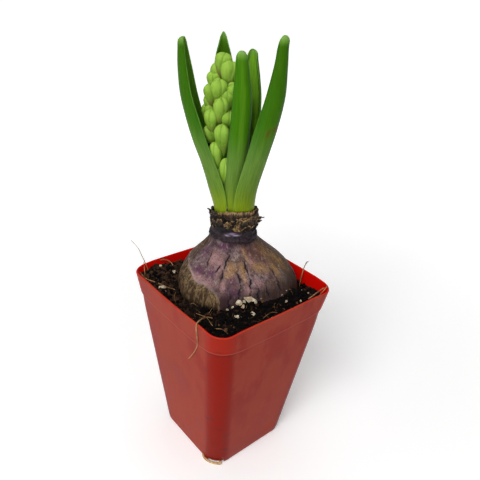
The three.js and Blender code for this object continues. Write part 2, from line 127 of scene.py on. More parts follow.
class Tree:
    """A node tree, written as expressions."""

    def __init__(self, tree):
        self.tree = tree

    def node(self, kind, settings, sockets, output=0):
        """A node: its settings, then the values or links of its sockets."""
        node = self.tree.nodes.new(kind)
        for name, value in settings.items():
            setattr(node, name, value)
        for key, value in sockets.items() if isinstance(sockets, dict) else enumerate(sockets):
            if isinstance(value, Value):
                self.tree.links.new(value.socket, node.inputs[key])
            else:
                node.inputs[key].default_value = value
        return Value(self, node.outputs[output])


class Finish(Tree):
    """A material, built up in coats of colour from its ground. What is the same all over is
    set on the shader's own sockets."""

    def __init__(self, name, ground, **plain):
        self.material = bpy.data.materials.new(name)
        self.material.use_nodes = True
        super().__init__(self.material.node_tree)
        self.shader = self.tree.nodes["Principled BSDF"]
        self.colour = tint(*ground)
        for socket, value in plain.items():
            self.shader.inputs[socket.replace("_", " ")].default_value = value

    def place(self, stretch=(1, 1, 1)):
        """Object coordinates in millimetres."""
        coords = self.node("ShaderNodeTexCoord", {}, {}, "Object")
        scale = tuple(s / MM for s in stretch)
        return self.node("ShaderNodeMapping", {}, {"Vector": coords, "Scale": scale})

    def drawn(self, name, output="Fac"):
        """The piece's own attribute."""
        return self.node("ShaderNodeAttribute", {"attribute_name": name}, {}, output)

    def noise(self, size, detail=3.0, roughness=0.55, over=(1, 1, 1)):
        """Cloudy noise, with clouds of about this size, over the object's coordinates, which
        may be stretched, or over another vector."""
        over = over if isinstance(over, Value) else self.place(over)
        sockets = {"Vector": over, "Scale": 1 / size, "Detail": detail, "Roughness": roughness}
        return self.node("ShaderNodeTexNoise", {}, sockets)

    def mix(self, mask, under, over):
        """The colour over laid on the colour under where the mask is 1."""
        colours = {0: mask, 6: under, 7: over}
        return self.node("ShaderNodeMix", {"data_type": "RGBA"}, colours, 2)

    def coat(self, mask, *over):
        """Lays a colour over what is there, as red, green and blue or as a mixed one."""
        over = over[0] if len(over) == 1 else tint(*over)
        self.colour = self.mix(mask, self.colour, over)

    def done(self, roughness, relief=None, depth=0.0, glow=None):
        """Links the colour, the roughness and a relief whose full height is depth millimetres."""
        links = {"Base Color": self.colour, "Roughness": roughness}
        if relief:
            sockets = {"Strength": 1.0, "Distance": depth * MM, "Height": relief}
            links["Normal"] = self.node("ShaderNodeBump", {}, sockets)
        if glow:
            links["Emission Color"] = glow
        for socket, value in links.items():
            self.tree.links.new(value.socket, self.shader.inputs[socket])
        return self.material


def tint(red, green, blue):
    """A colour as a screen shows it, from 0 to 255, as the shader's linear values."""
    shares = (c / 255 for c in (red, green, blue))
    linear = (s / 12.92 if s < 0.04 else ((s + 0.055) / 1.055) ** 2.4 for s in shares)
    return (*linear, 1.0)


def added(name, data):
    """A new object in the scene."""
    piece = bpy.data.objects.new(name, data)
    bpy.context.scene.collection.objects.link(piece)
    return piece


def skin(name, rings, ends="fan"):
    """A closed mesh through rings of points in millimetres. An end is closed by a fan, or by
    a strip where the ring is a flat band whose first and last points lie side by side."""
    rings = np.asarray(rings, float)
    rows, size, _ = rings.shape
    points = rings.reshape(-1, 3)
    row, i = np.meshgrid(np.arange(rows - 1), np.arange(size), indexing="ij")
    a, b = row * size + i, row * size + (i + 1) % size
    faces = np.stack([a, b, b + size, a + size], -1).reshape(-1, 4).tolist()
    last = (rows - 1) * size
    if ends == "fan":
        centre = len(points)
        points = np.concatenate([points, [rings[0].mean(0), rings[-1].mean(0)]])
        for k in range(size):
            follow = (k + 1) % size
            faces += [[centre, follow, k], [centre + 1, last + k, last + follow]]
    else:
        for k in range(size // 2 - 1):
            strip = [k, size - 1 - k, size - 2 - k, k + 1]
            faces += [strip, [last + j for j in reversed(strip)]]
    mesh = bpy.data.meshes.new(name)
    mesh.from_pydata((points * MM).tolist(), [], faces)
    work = bmesh.new()
    work.from_mesh(mesh)
    bmesh.ops.recalc_face_normals(work, faces=work.faces)
    work.to_mesh(mesh)
    work.free()
    mesh.polygons.foreach_set("use_smooth", [True] * len(mesh.polygons))
    return added(name, mesh)


def mark(piece, **drawn):
    """Draws values on a piece's points, as attributes that its material reads. Where there
    are too few, the last one goes on to the end."""
    for name, values in drawn.items():
        values = np.asarray(values, float)
        width = 3 if values.ndim > 1 and values.shape[-1] == 3 else 1
        values = values.reshape(-1, width)
        spare = len(piece.data.vertices) - len(values)
        values = np.concatenate([values, np.repeat(values[-1:], spare, 0)])
        kind, key = ("FLOAT_VECTOR", "vector") if width == 3 else ("FLOAT", "value")
        piece.data.attributes.new(name, kind, "POINT").data.foreach_set(key, values.ravel())


def baked(piece):
    """Works a piece's modifiers into its mesh."""
    evaluated = piece.evaluated_get(bpy.context.evaluated_depsgraph_get())
    mesh = bpy.data.meshes.new_from_object(evaluated)
    piece.modifiers.clear()
    piece.data = mesh
    return piece


def dress(piece, material, node=None):
    """Gives a piece its finish, hangs it on the root, and hides the CAD part that it stands for."""
    piece.data.materials.clear()
    piece.data.materials.append(material)
    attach(piece, "root")
    if node:
        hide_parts(node)


def step(value, low, high):
    t = np.clip((value - low) / (high - low), 0, 1)
    return t * t * (3 - 2 * t)


def circle(turn):
    turn = np.radians(turn)
    return np.cos(turn), np.sin(turn)


def square_ring(half, corner, height):
    """A square with rounded corners, which the pot's warp has pulled a little out of true:
    the sides bow out towards the rim, and the collar is narrower at the corners."""
    ring = []
    for k in range(4):
        for i in range(CORNER_POINTS + 1):
            turn = math.pi / 2 * (k + i / CORNER_POINTS)
            x = (half - corner) * (1 if k in (0, 3) else -1) + corner * math.cos(turn)
            y = (half - corner) * (1 if k < 2 else -1) + corner * math.sin(turn)
            ring.append((x, y, height))
        turn = math.pi / 2 * (k + 1)
        bow = POT_BOWS[k] * max(0, height / POT_HEIGHT) ** 2
        for i in range(1, SIDE_POINTS):
            along = 2 * i / SIDE_POINTS - 1
            out = half + bow * (1 - along * along)
            x = out * math.cos(turn) - along * (half - corner) * math.sin(turn)
            y = out * math.sin(turn) + along * (half - corner) * math.cos(turn)
            ring.append((x, y, height))
    ring = np.array(ring)
    close = step(np.abs(ring[:, :2]).min(1), half - CORNER_START, half - CORNER_FULL)
    ring[:, 2] += np.interp(height, LIFT_AT, SIDE_LIFT) + np.interp(height, LIFT_AT, CORNER_LIFT) * close
    return ring


def pot_half(height):
    """Half the pot's outside width at a height."""
    if height < COLLAR_FOOT:
        return np.interp(height, [0, COLLAR_FOOT], [POT_BASE / 2, POT_NECK / 2])
    return np.interp(height, [COLLAR_FOOT, POT_HEIGHT], [POT_NECK / 2 + COLLAR_STEP, POT_RIM / 2])


def pot_rings():
    """Up the outside from the underside, over the lip, and down the inside to the floor."""
    neck = pot_half(COLLAR_FOOT - 0.01)
    feet = [(1.0, 0), (0.45, 0.2), (0.12, 0.6), (0, 1.2)]
    ledge = [(0, -0.5), (0.05, -0.25), (0.2, -0.05), (0.42, 0.12), (0.5, 0.4), (0.5, 0.8)]
    lip = [(0.02, 0.4), (0.15, 0.12), (0.35, 0.02), (0.6, 0), (0.85, 0.02), (1.05, 0.15), (POT_WALL, 0.5)]
    inside = [95, 90, COLLAR_FOOT + 0.3, COLLAR_FOOT - 0.6, 60, 30, POT_FLOOR]
    rows = [(pot_half(h) - inset, POT_CORNER, h) for inset, h in feet]
    rows += [(pot_half(h), POT_CORNER, h) for h in np.linspace(6, COLLAR_FOOT - 1.2, 14)]
    rows += [(neck + out, POT_CORNER, COLLAR_FOOT + rise) for out, rise in ledge]
    rows += [(pot_half(h), POT_CORNER, h) for h in np.linspace(COLLAR_FOOT + 3, POT_HEIGHT - 0.8, 4)]
    rows += [(POT_RIM / 2 - inset, POT_CORNER - inset, POT_HEIGHT - drop) for inset, drop in lip]
    rows += [(pot_half(h) - POT_WALL, POT_CORNER - POT_WALL, h) for h in inside]
    return [square_ring(*row) for row in rows]


def pot_finish():
    plain = {"Specular_IOR_Level": 0.1, "IOR": 1.3, "Emission_Strength": 0.14}
    finish = Finish("red pot plastic", (127, 22, 8), **plain)
    x, y, z = (finish.node("ShaderNodeSeparateXYZ", {}, [finish.place()], axis) for axis in range(3))
    # How far out of the middle a point is, along the wider and the narrower way.
    x, y = x.maths("ABSOLUTE"), y.maths("ABSOLUTE")
    wide, narrow = x.maths("MAXIMUM", y), x.maths("MINIMUM", y)
    half = z * ((POT_NECK - POT_BASE) / 2 / COLLAR_FOOT) + POT_BASE / 2
    close = narrow.between(half - CORNER_START, half - CORNER_FULL)
    # The collar's foot rises towards the corners, as in square_ring.
    foot = close * CORNER_LIFT[2] + COLLAR_FOOT + SIDE_LIFT[2]
    collar = z.between(foot - 0.2, foot + 0.4)
    half = half + collar * COLLAR_STEP
    # How far a point is from the middle of its corner's rounding.
    across, along = ((way - half + POT_CORNER).maths("MAXIMUM", 0) for way in (wide, narrow))
    from_round = (across * across + along * along) ** 0.5
    inner = from_round.between(POT_CORNER - 0.5, POT_CORNER - 0.8)
    flat = (half - narrow).between(POT_CORNER - 1.2, POT_CORNER + 2.4)
    cloud = finish.noise(26, 4, 0.6)
    speck = finish.noise(2.2, 3, 0.7)
    scuff = finish.noise(3.0, 5, 0.65, (1, 1, 0.12))
    sheen_gaps = finish.noise(15, 5, 0.62, (0.9, 0.9, 0.5))
    smear = finish.noise(4, 4, 0.7, (0.5, 0.5, 0.9))
    # A pale painted sheen on the flat sides stands for their hazy reflection, broken up in clouds and gaps.
    painted_sheen = flat * (cloud.between(0.2, 0.6) * 0.4 + 0.6) * (1 - sheen_gaps.between(0.47, 0.62) * 0.75)
    finish.coat(painted_sheen, 142, 56, 41)
    finish.coat(collar * (1 - flat) * 0.85, 146, 32, 16)
    # Paler towards the foot of the flat sides: painted light, as from the bright floor.
    finish.coat(z.between(60, 5) * flat * 0.35, 164, 68, 54)
    finish.coat(cloud.between(0.56, 0.74) * flat * 0.4, 122, 48, 36)
    finish.coat(speck.between(0.68, 0.78) * (cloud.between(0.5, 0.66) * 0.6 + 0.1), 84, 28, 24)
    finish.coat(smear.between(0.58, 0.68) * (1 - flat) * 0.6, 84, 34, 30)
    # Under the collar's foot the plastic is shaded, and the foot itself catches the light.
    under = z.between(foot - 2.2, foot - 0.3) * (1 - collar) * (1 - flat * 0.7)
    finish.coat(under * 0.6, 84, 16, 12)
    finish.coat(z.between(foot, foot + 0.3) * z.between(foot + 0.9, foot + 0.5) * 0.32, 186, 84, 72)
    # The rim's lip shines through, and so does the inside, lit through the thin wall.
    lip = (z - close * CORNER_LIFT[5]).between(POT_HEIGHT - 0.5, POT_HEIGHT - 0.1)
    finish.coat(lip * 0.6, 196, 60, 42)
    finish.coat(inner, 172, 8, 2)
    glow = finish.mix(inner, (0, 0, 0, 1), tint(220, 12, 2))
    relief = cloud * 0.7 + scuff * 0.2 + speck * 0.1
    return finish.done(painted_sheen * 0.2 + scuff * 0.14 + 0.24, relief, 0.2, glow)


pot = skin("pot_wall", pot_rings())
drain = POT_BASE / 2 - DRAIN_INSET
across, along = circle(np.arange(0, 360, 10))
for x in (-drain, drain):
    for y in (-drain, drain):
        hole = [x + DRAIN_RADIUS * across, y + DRAIN_RADIUS * along]
        plug = skin("drain", [np.stack([*hole, 0 * across + z], -1) for z in (-DRAIN_HEIGHT, DRAIN_HEIGHT)])
        cut = pot.modifiers.new("drain", "BOOLEAN")
        cut.operation = "DIFFERENCE"
        cut.solver = "EXACT"
        cut.object = plug
        baked(pot)
        bpy.data.objects.remove(plug)
dress(pot, pot_finish(), "pot")

# The bulb.
# An onion-like bulb in papery skins, drawn over to a short neck. The outermost skin is
# mauve, cracked lengthwise and torn off below, where a fibrous tan one shows. It was made
# as rings round its axis, with the ribs, cracks and torn edge as relief.
PLANT_TURN = math.radians(48.9)
BULB_WIDTH = 62.2
BULB_DEPTH = 56.0
BULB_PLACE = (2.7, -4.0)
BULB_SHOULDER = 104.0
BULB_SIDES = 360
BULB_LEVELS = 168
NECK_PLACE = (-1.0, -5.0)
NECK_TOP = 124.0
BULB_PROFILE = [
    # height, share of the bulb's width
    (64, 0.29), (65.6, 0.43), (69.5, 0.62), (75, 0.79), (81, 0.905), (87, 0.97), (94, 1),
    (98.5, 0.985), (102.5, 0.935), (106.5, 0.845), (110, 0.74), (113, 0.635), (115.6, 0.54),
    (117.8, 0.465), (119.6, 0.415), (121.6, 0.388), (NECK_TOP, 0.372),
]
# Cracks in the outer skin, each a row of (direction, height) from its upper end. The ones at
# the back are drawn at random.
CRACKS = [
    [
        (95.5, 119.9), (95.6, 118.1), (102, 115.6), (105, 113.1), (106.4, 111.6), (107.2, 109.3),
        (107.6, 107.4),
    ],
    [(101, 116.6), (103, 114.8), (104, 113)],
    [(89, 112.3), (88, 110.8), (85.6, 108.4), (86, 106.4), (88, 103), (88, 96)],
    [(70, 117), (72, 115.4), (75, 113), (73.5, 110), (76.5, 105.5), (77, 102), (78, 96)],
    [(39.4, 111), (40.4, 109), (42, 105.6), (43.4, 102.6), (43.6, 101)],
    [(67.6, 107), (69, 104), (70, 102), (71, 96)],
    [(58, 106.8), (59, 104.6), (58, 101.7), (58, 96)],
    [(135, 117), (133, 114), (130, 111.5)],
    [(109, 114), (114, 112), (117, 110)],
    [(95, 103), (97, 99), (96, 95)],
]
BACK_CRACKS = 15
# Where the outer skin ends below: direction, height.
TORN_EDGE = [
    (0, 84), (100, 84), (103.4, 93), (105.4, 100.4), (109, 101.6), (117.5, 103.2), (126, 103.8),
    (136, 104.3), (145, 106), (155, 107.2), (166, 108.4), (180, 109), (214, 103.5), (236, 106.5),
    (262, 104), (288, 107), (305, 96), (312, 84), (360, 84),
]
# Patches of colour on the outer skin, and the lilac painted highlights on the folds of its sheet
# at the neck: direction, height, how far they reach each way.
PATCHES = {
    "ochre": [
        (95, 113, 8, 2.2), (80, 112.8, 5, 2.2), (80.5, 110.4, 3, 2.2), (66, 118.2, 5, 3),
        (57, 113, 8, 2), (48, 112.2, 6, 2), (99, 110.6, 5, 1.4), (34, 110, 5, 4),
        (24, 117, 10, 3), (12, 112, 8, 5), (200, 114, 16, 4), (300, 112, 14, 4),
    ],
    "pink": [
        (124, 115.2, 8, 2.6), (113, 113.6, 5, 3), (62, 115.4, 5, 1.9), (120, 105.4, 9, 1.4),
        (134, 106.4, 9, 1.3), (104.6, 105, 2.4, 3.4), (78, 105, 3, 2.4), (66, 108, 5, 2),
        (230, 112, 12, 4), (330, 110, 10, 4),
    ],
    "violet": [
        (149, 115.4, 10, 3.4), (139, 109, 13, 2), (122, 109.8, 7, 1.8), (96, 108.6, 6, 2),
        (93, 103.6, 8, 3), (100, 100, 6, 4), (110, 121, 16, 2), (180, 111, 12, 4),
        (258, 109, 14, 4),
    ],
    "russet": [
        (54, 118.4, 13, 3), (40, 115.6, 10, 2.8), (66, 121.6, 12, 2), (30, 119, 10, 2),
        (330, 116, 14, 4),
    ],
    "ash": [
        (88, 117.2, 5, 1.8), (64, 109.4, 5, 1.6), (152, 112, 5, 3), (125, 122.4, 9, 1.4),
        (30, 106, 6, 3),
    ],
    "lilac": [(93, 127.2, 8, 0.34), (82, 126.4, 8, 0.3), (104, 126, 6, 0.3)],
}
# Where it is blackened and lies in painted shade under the neck's scales, given in the same way.
CHAR_AND_SHADE = [
    (141, 120.8, 10, 3), (126, 123.4, 12, 1.6), (44, 122.6, 16, 2), (92, 123.2, 13, 1.4),
    (70, 122.6, 8, 1.4),
]


def at(side, front, height):
    """Points of the plant, in millimetres. The plant stands in a frame of its own, turned
    about Z: a place in it is sideways to the right, frontwards and height."""
    side, front, height = np.broadcast_arrays(side, front, height)
    c, s = math.cos(PLANT_TURN), math.sin(PLANT_TURN)
    return np.stack([side * c + front * s, side * s - front * c, height], -1)


def polar(centre, radius, turn, height):
    """Points round a place of the plant. Direction 0 is to the right and 90 to the front."""
    c, s = circle(turn)
    return at(centre[0] + radius * c, centre[1] + radius * s, height)


def around(count):
    """Directions once round, in the order that makes a skin's faces point outwards."""
    return -360 * np.arange(count) / count


def blend(rows, place):
    """The row of values at each place along given rows, smoothly through all of them."""
    rows = np.asarray(rows, float)
    place = np.atleast_1d(np.asarray(place, float))
    i = np.clip(np.floor(place).astype(int), 0, len(rows) - 2)
    t = (place - i)[:, None]
    a, b, c, d = (rows[np.clip(i + k, 0, len(rows) - 1)] for k in (-1, 0, 1, 2))
    return b + 0.5 * t * (c - a + t * (2 * a - 5 * b + 4 * c - d + t * (3 * (b - c) + d - a)))


def rough_at(points, size, seed=0):
    """Smooth noise from about -1 to 1 at points, with lumps of about this size."""
    shift = Vector((seed * 7.3, seed * 3.1, seed * 5.7))
    flat = np.asarray(points, float).reshape(-1, 3) / size
    return np.array([noise.noise(Vector(p) + shift) for p in flat]).reshape(np.shape(points)[:-1])


def apart(turn, centre):
    """The angle between directions, from -180 to 180."""
    return (turn - centre + 180) % 360 - 180


def bulb_outline(count):
    """Height, share of the width and middle of the bulb, at places along its profile."""
    height, share = blend(BULB_PROFILE, np.linspace(0, len(BULB_PROFILE) - 1, count)).T
    up = step(height, BULB_SHOULDER, NECK_TOP)
    side, front = (foot + (neck - foot) * up for foot, neck in zip(BULB_PLACE, NECK_PLACE))
    return height, share, side, front


def bulb_points(turn, height, share, side, front, relief):
    full = step(share, 0.42, 0.9)
    ribs = 0.28 * np.cos(np.radians(11 * turn + 3 * height))
    ribs = ribs + 0.22 * np.sin(np.radians(5 * turn + 75))
    out = share * BULB_WIDTH / 2 + full * ribs + relief
    squash = 1 + (BULB_DEPTH / BULB_WIDTH - 1) * full
    c, s = circle(turn)
    return at(side + out * c, front + out * s * squash, height)


def crack_depth(turn, height, radius):
    """How deep in a crack a point is, from 0 to 1."""
    deep = np.zeros_like(turn)
    draw = random.Random(4)
    rows = list(CRACKS)
    for k in range(BACK_CRACKS):
        start = 150 + 15.5 * k + draw.uniform(-4, 4)
        top, run = draw.uniform(105, 115), draw.uniform(5, 13)
        bend = draw.uniform(-3, 3)
        rows.append([(start, top), (start + bend, top - run / 2), (start + 0.5 * bend, top - run)])
    for crack in rows:
        turns, heights = np.array(crack[::-1], float).T
        wander = 0.5 * np.sin(1.7 * height + turns[0]) + 0.4 * np.sin(3.9 * height)
        off = apart(turn, np.interp(height, heights, turns) + wander) * np.radians(1) * radius
        width = 0.34 + 0.2 * np.sin(1.1 * height + turns[0])
        ends = step(height, heights[0] - 0.8, heights[0] + 1)
        ends = ends * step(-height, -heights[-1] - 0.8, -heights[-1] + 1.6)
        deep = np.maximum(deep, np.exp(-((off / width) ** 2)) * ends)
    return deep


def patches(rows, turn, height):
    """How strongly any of the patches colours each point."""
    total = np.zeros_like(turn)
    for centre, level, width, reach in rows:
        spot = (apart(turn, centre) / width) ** 2 + ((height - level) / reach) ** 2
        total = np.maximum(total, np.exp(-spot))
    return total


def bulb_finish():
    finish = Finish("papery bulb skin", (70, 50, 57), Specular_IOR_Level=0.15, IOR=1.35)
    grain = finish.drawn("grain", "Vector")
    streak, thread = finish.noise(1.5, 4, 0.6, grain), finish.noise(0.55, 3, 0.6, grain)
    mottle, cloud = finish.noise(2.6, 5, 0.68), finish.noise(9, 3, 0.55)
    net = {"Vector": grain, "Scale": 1 / 1.1}
    net = finish.node("ShaderNodeTexVoronoi", {"feature": "DISTANCE_TO_EDGE"}, net)
    finish.coat(mottle.between(0.36, 0.62), 126, 104, 103)
    finish.coat(cloud.between(0.42, 0.6) * 0.55, 96, 74, 60)
    finish.coat(finish.drawn("violet") * (mottle * 0.6 + 0.55).clamped(), 84, 48, 72)
    finish.coat(finish.drawn("pink") * (mottle * 0.8 + 0.45).clamped(), 162, 122, 124)
    finish.coat(finish.drawn("brown") * (streak.between(0.3, 0.5) * 0.5 + 0.4), 92, 70, 50)
    finish.coat(finish.drawn("ochre") * (streak * 1.5 - 0.05).clamped(), 160, 122, 74)
    finish.coat(finish.drawn("russet") * (mottle * 0.9 + 0.4).clamped(), 88, 56, 50)
    finish.coat(finish.drawn("ash") * mottle.between(0.3, 0.55) * 0.8, 126, 112, 108)
    finish.coat(streak.between(0.55, 0.7) * 0.5, 168, 150, 142)
    finish.coat(thread.between(0.5, 0.36) * 0.6, 48, 36, 42)
    outer = finish.colour
    # The older skin, which shows where the outer one is torn off.
    finish.colour = tint(76, 60, 43)
    finish.coat(streak.between(0.4, 0.6), 134, 110, 79)
    finish.coat(thread.between(0.54, 0.42) * 0.75, 44, 33, 24)
    finish.coat(mottle.between(0.58, 0.7) * 0.5, 120, 102, 84)
    finish.coat(finish.drawn("torn"), outer)
    finish.coat(finish.drawn("edge") * 0.7, 178, 152, 146)
    # Painted shade low down on the outer skin.
    finish.coat(finish.drawn("shade") * (streak * 1.2 + 0.25).clamped() * 0.9, 46, 33, 29)
    # Painted shade down the bulb's flanks, the left one more.
    finish.coat(finish.drawn("flank") * (streak.between(0.62, 0.36) * 0.5 + 0.35), 46, 33, 25)
    # Blackened skin at the neck, with painted shade under the scales.
    finish.coat(finish.drawn("char") * (mottle * 1.3 + 0.3).clamped(), 34, 25, 31)
    # Lilac painted highlights on the folds at the neck.
    finish.coat(finish.drawn("lilac"), 138, 122, 148)
    finish.coat((finish.drawn("crack") * 1.2).clamped(), 22, 19, 28)
    finish.coat(finish.drawn("soiled") * mottle.between(0.34, 0.6), 26, 19, 15)
    relief = streak * 0.5 + thread * 0.3 + mottle * 0.35 + net.between(0, 0.12) * 0.12
    return finish.done(0.78 - mottle * 0.35, relief, 0.42)


turn = np.broadcast_to(around(BULB_SIDES), (BULB_LEVELS, BULB_SIDES)) % 360
height, share, side, front = (
    np.broadcast_to(v[:, None], turn.shape) for v in bulb_outline(BULB_LEVELS)
)
radius = share * BULB_WIDTH / 2
base = bulb_points(turn, height, share, side, front, 0)
grain = polar((0, 0), radius, turn, height * 0.16)
edge = np.interp(turn, *np.array(TORN_EDGE, float).T)
edge = edge + 0.9 * rough_at(base, 3.2, 2) + 0.5 * rough_at(base, 1.1, 5)
torn = step(height, edge - 0.12, edge + 0.12)
rim = np.exp(-(((height - edge - 0.5) / 0.6) ** 2)) * step(edge, 88, 92)
crack = crack_depth(turn, height, radius) * np.maximum(torn, 0.35)
wrinkle = 0.16 * rough_at(grain, 1.7, 1) + 0.08 * rough_at(grain, 0.7, 3) + 0.16 * rough_at(base, 5.5, 4)
gather = rough_at(polar((0, 0), 16, turn, height * 0.1), 2.1, 6)
gather = gather * step(height, 112, 117) * (1 - 0.6 * step(height, 120, 124))
swell = 0.8 * np.exp(-((apart(turn, 168) / 34) ** 2) - ((height - 107) / 6) ** 2)
relief = step(share, 0.42, 0.8) * (wrinkle + 0.24 * torn + 0.16 * rim) - 0.5 * crack - 0.12
relief = relief + 0.75 * gather + swell
bulb = skin("bulb_skin", bulb_points(turn, height, share, side, front, relief))
# The skin browns at the sides, chars at the neck, where painted shade under the scales darkens
# it too, and is soiled at the foot. Painted shade darkens it low down, more on the right, and
# down its flanks, the left one more.
beside = apart(turn, 92)
brown = np.maximum(step(-np.abs(apart(turn, 5)), -50, -20), step(-np.abs(apart(turn, 190)), -34, -20))
flank = step(np.abs(beside), 54, 80) * step(-np.abs(beside), -130, -100)
char = step(height + 3 * rough_at(base, 4, 6) - 1.2 * gather, 119.8, 123.6)
low = -height - 3 * rough_at(base, 8, 9) + 3 * step(-turn, -90, -60)
mark(bulb, **{name: patches(rows, turn, height) for name, rows in PATCHES.items()})
mark(bulb, grain=grain, torn=torn, edge=rim, crack=crack)
mark(bulb, brown=brown * (0.6 + 0.4 * step(height, 96, 100)))
mark(bulb, char=np.maximum(char, 0.8 * patches(CHAR_AND_SHADE, turn, height)))
mark(bulb, shade=step(low, -108, -100) * torn, flank=flank * np.where(beside > 0, 1, 0.5))
mark(bulb, soiled=step(-height + 2 * rough_at(base, 2.5, 8), -98, -93))
dress(bulb, bulb_finish(), "bulb")

# The roots.
# Fleshy strings that grow from the basal plate down through the soil. One of them has come
# out of the front drain hole and lies round the pot's corner, pale where it is fresh.
ROOT_COUNT = 9
ROOT_RADIUS = 0.8
BULB_FOOT = 64.0
PLATE_TOP = BULB_FOOT - 0.3
PLATE_THICK = 1.2
PLATE_MIDDLE = PLATE_TOP - PLATE_THICK / 2
DRAIN_TURN = 45 + math.degrees(PLANT_TURN)
CORNER_REACH = math.sqrt(2) * (POT_BASE / 2 - POT_CORNER)
STRING_STEPS = 5
# The escaped root goes down through the drain hole, as distance from the middle and height,
# and round the outside of the corner, as direction, height and how far off the plastic.
ESCAPE_DOWN = [(8, 50), (17, 30), (25, 11), (math.sqrt(2) * drain - 1.6, 2.8)]
ESCAPE_ROUND = [
    (-16, 1.2, 0.8), (-2, 0.9, 0.8), (14, 0.75, 0.8), (32, 0.8, 0.8), (48, 0.9, 0.8), (58, 1.5, 0.4),
]


def strings(name, lines, radii, sides, taper):
    """Round strings along lines of points in millimetres, thinner towards their ends."""
    curve = bpy.data.curves.new(name, "CURVE")
    curve.dimensions = "3D"
    curve.bevel_depth = MM
    curve.bevel_resolution = sides
    curve.use_fill_caps = True
    for line, radius in zip(lines, radii):
        points = blend(line, np.linspace(0, len(line) - 1, STRING_STEPS * (len(line) - 1) + 1))
        spline = curve.splines.new("POLY")
        spline.points.add(len(points) - 1)
        for i, (x, y, z) in enumerate(points):
            spline.points[i].co = (x * MM, y * MM, z * MM, 1)
            spline.points[i].radius = radius * (1 - taper * (i / (len(points) - 1)) ** 2)
        spline.use_smooth = True
    wire = added(name, curve)
    mesh = bpy.data.meshes.new_from_object(wire.evaluated_get(bpy.context.evaluated_depsgraph_get()))
    bpy.data.objects.remove(wire)
    mesh.name = name
    return added(name, mesh)


def string_finish(name, pale, dark, speckled):
    """Dry or fleshy plant fibre: two colours that come and go along it."""
    finish = Finish(name, pale, Specular_IOR_Level=0.3)
    speck = finish.noise(0.7, 2, 0.6)
    finish.coat(finish.noise(5, 3, 0.6).between(0.38, 0.62), *dark)
    finish.coat(speck.between(0.56, 0.7) * speckled, 60, 40, 26)
    return finish.done(0.5 + speck * 0.4, speck, 0.08)


def root_line(turn, course):
    """A root's points under the bulb, from a row of (radius, height, twist)."""
    return [
        polar([p * height / BULB_FOOT for p in BULB_PLACE], radius, turn + twist, height)
        for radius, height, twist in course
    ]


root_draw = random.Random(11)
root_lines = []
for i in range(ROOT_COUNT):
    turn = DRAIN_TURN + 360 * (i + 0.75 + 0.4 * root_draw.random()) / (ROOT_COUNT + 1)
    spread, end = root_draw.uniform(9, 14), root_draw.uniform(10, 26)
    course = [(4.5, PLATE_MIDDLE, 0), (7, BULB_FOOT - 6, 0), (spread, 42, 12)]
    course += [(spread + 1.5, end + 9, -6), (spread + 0.5, end, 8)]
    root_lines.append(root_line(turn, course))
escaped = [at(BULB_PLACE[0], BULB_PLACE[1] + 4, PLATE_MIDDLE)]
escaped += [polar((0, 0), radius, DRAIN_TURN, height) for radius, height in ESCAPE_DOWN]
corner = polar((0, 0), CORNER_REACH, DRAIN_TURN, 0)
for turn, height, off in ESCAPE_ROUND:
    escaped.append(corner + polar((0, 0), POT_CORNER + off, DRAIN_TURN + turn, height))
root_lines.append(escaped)
roots = strings("root_strings", root_lines, [ROOT_RADIUS] * len(root_lines), 3, 0.3)
dress(roots, string_finish("fleshy root", (226, 208, 170), (184, 140, 92), 0.5), "roots")

# The soil.
# Peat with bark chips and perlite, which fills the pot to a finger's width under the rim and
# is banked up against the bulb in front. A closed plug with a hollow for the bulb carries
# it, and crumbs of every size are strewn over its top.
SOIL_MEAN = 93.4
# The height at which its top is taken to meet the pot's wall.
SOIL_RIM = 93
SOIL_SIDES = 240
SOIL_TOP_RINGS = 44
WALL_GAP = 0.3
# How finely the bulb's outline is read, and how often each fit is repeated.
OUTLINE_STEPS = 200
WALL_FITS, BULB_FITS = 24, 4
MOUNDS = [
    # sideways, frontwards, rise or fall, half its length and width, which way its length runs
    (17.5, 15.5, 8, 20, 6.8, -35), (-24, 13, -2.4, 9, 8, 0), (-36, -6, 4.4, 13, 12, 0),
    (34, -9, -1.8, 9, 9, 0),
]
SOIL_WALL = (POT_FLOOR + 0.3, 40, COLLAR_FOOT - 0.1, COLLAR_FOOT + 0.6, 90)


def soil_level(points):
    """The height of the soil's top at points, in millimetres."""
    c, s = math.cos(PLANT_TURN), math.sin(PLANT_TURN)
    side, front = points[..., 0] * c + points[..., 1] * s, points[..., 0] * s - points[..., 1] * c
    level = np.full(side.shape, SOIL_MEAN)
    for mid_side, mid_front, rise, length, width, turn in MOUNDS:
        turn = math.radians(turn)
        u, v = side - mid_side, front - mid_front
        along = u * math.cos(turn) + v * math.sin(turn)
        across = v * math.cos(turn) - u * math.sin(turn)
        level += rise * np.exp(-((along / length) ** 4) - (across / width) ** 2)
    flat = points * (1, 1, 0)
    return level + 0.9 * rough_at(flat, 5, 1) + 0.7 * rough_at(flat, 2.3, 2) + 0.35 * rough_at(flat, 1, 3)


def wall_reach(turn, height):
    """How far the pot's inside is from the bulb's middle in each direction, found in steps."""
    reach = np.full(turn.shape, 20.0)
    half, corner = pot_half(height) - POT_WALL - WALL_GAP, POT_CORNER - POT_WALL
    for _ in range(WALL_FITS):
        p = np.abs(polar(BULB_PLACE, reach, turn, 0)[:, :2]) - (half - corner)
        outside = np.hypot(*np.maximum(p, 0).T) + np.minimum(p.max(-1), 0) - corner
        reach = reach - outside * 0.8
    return reach


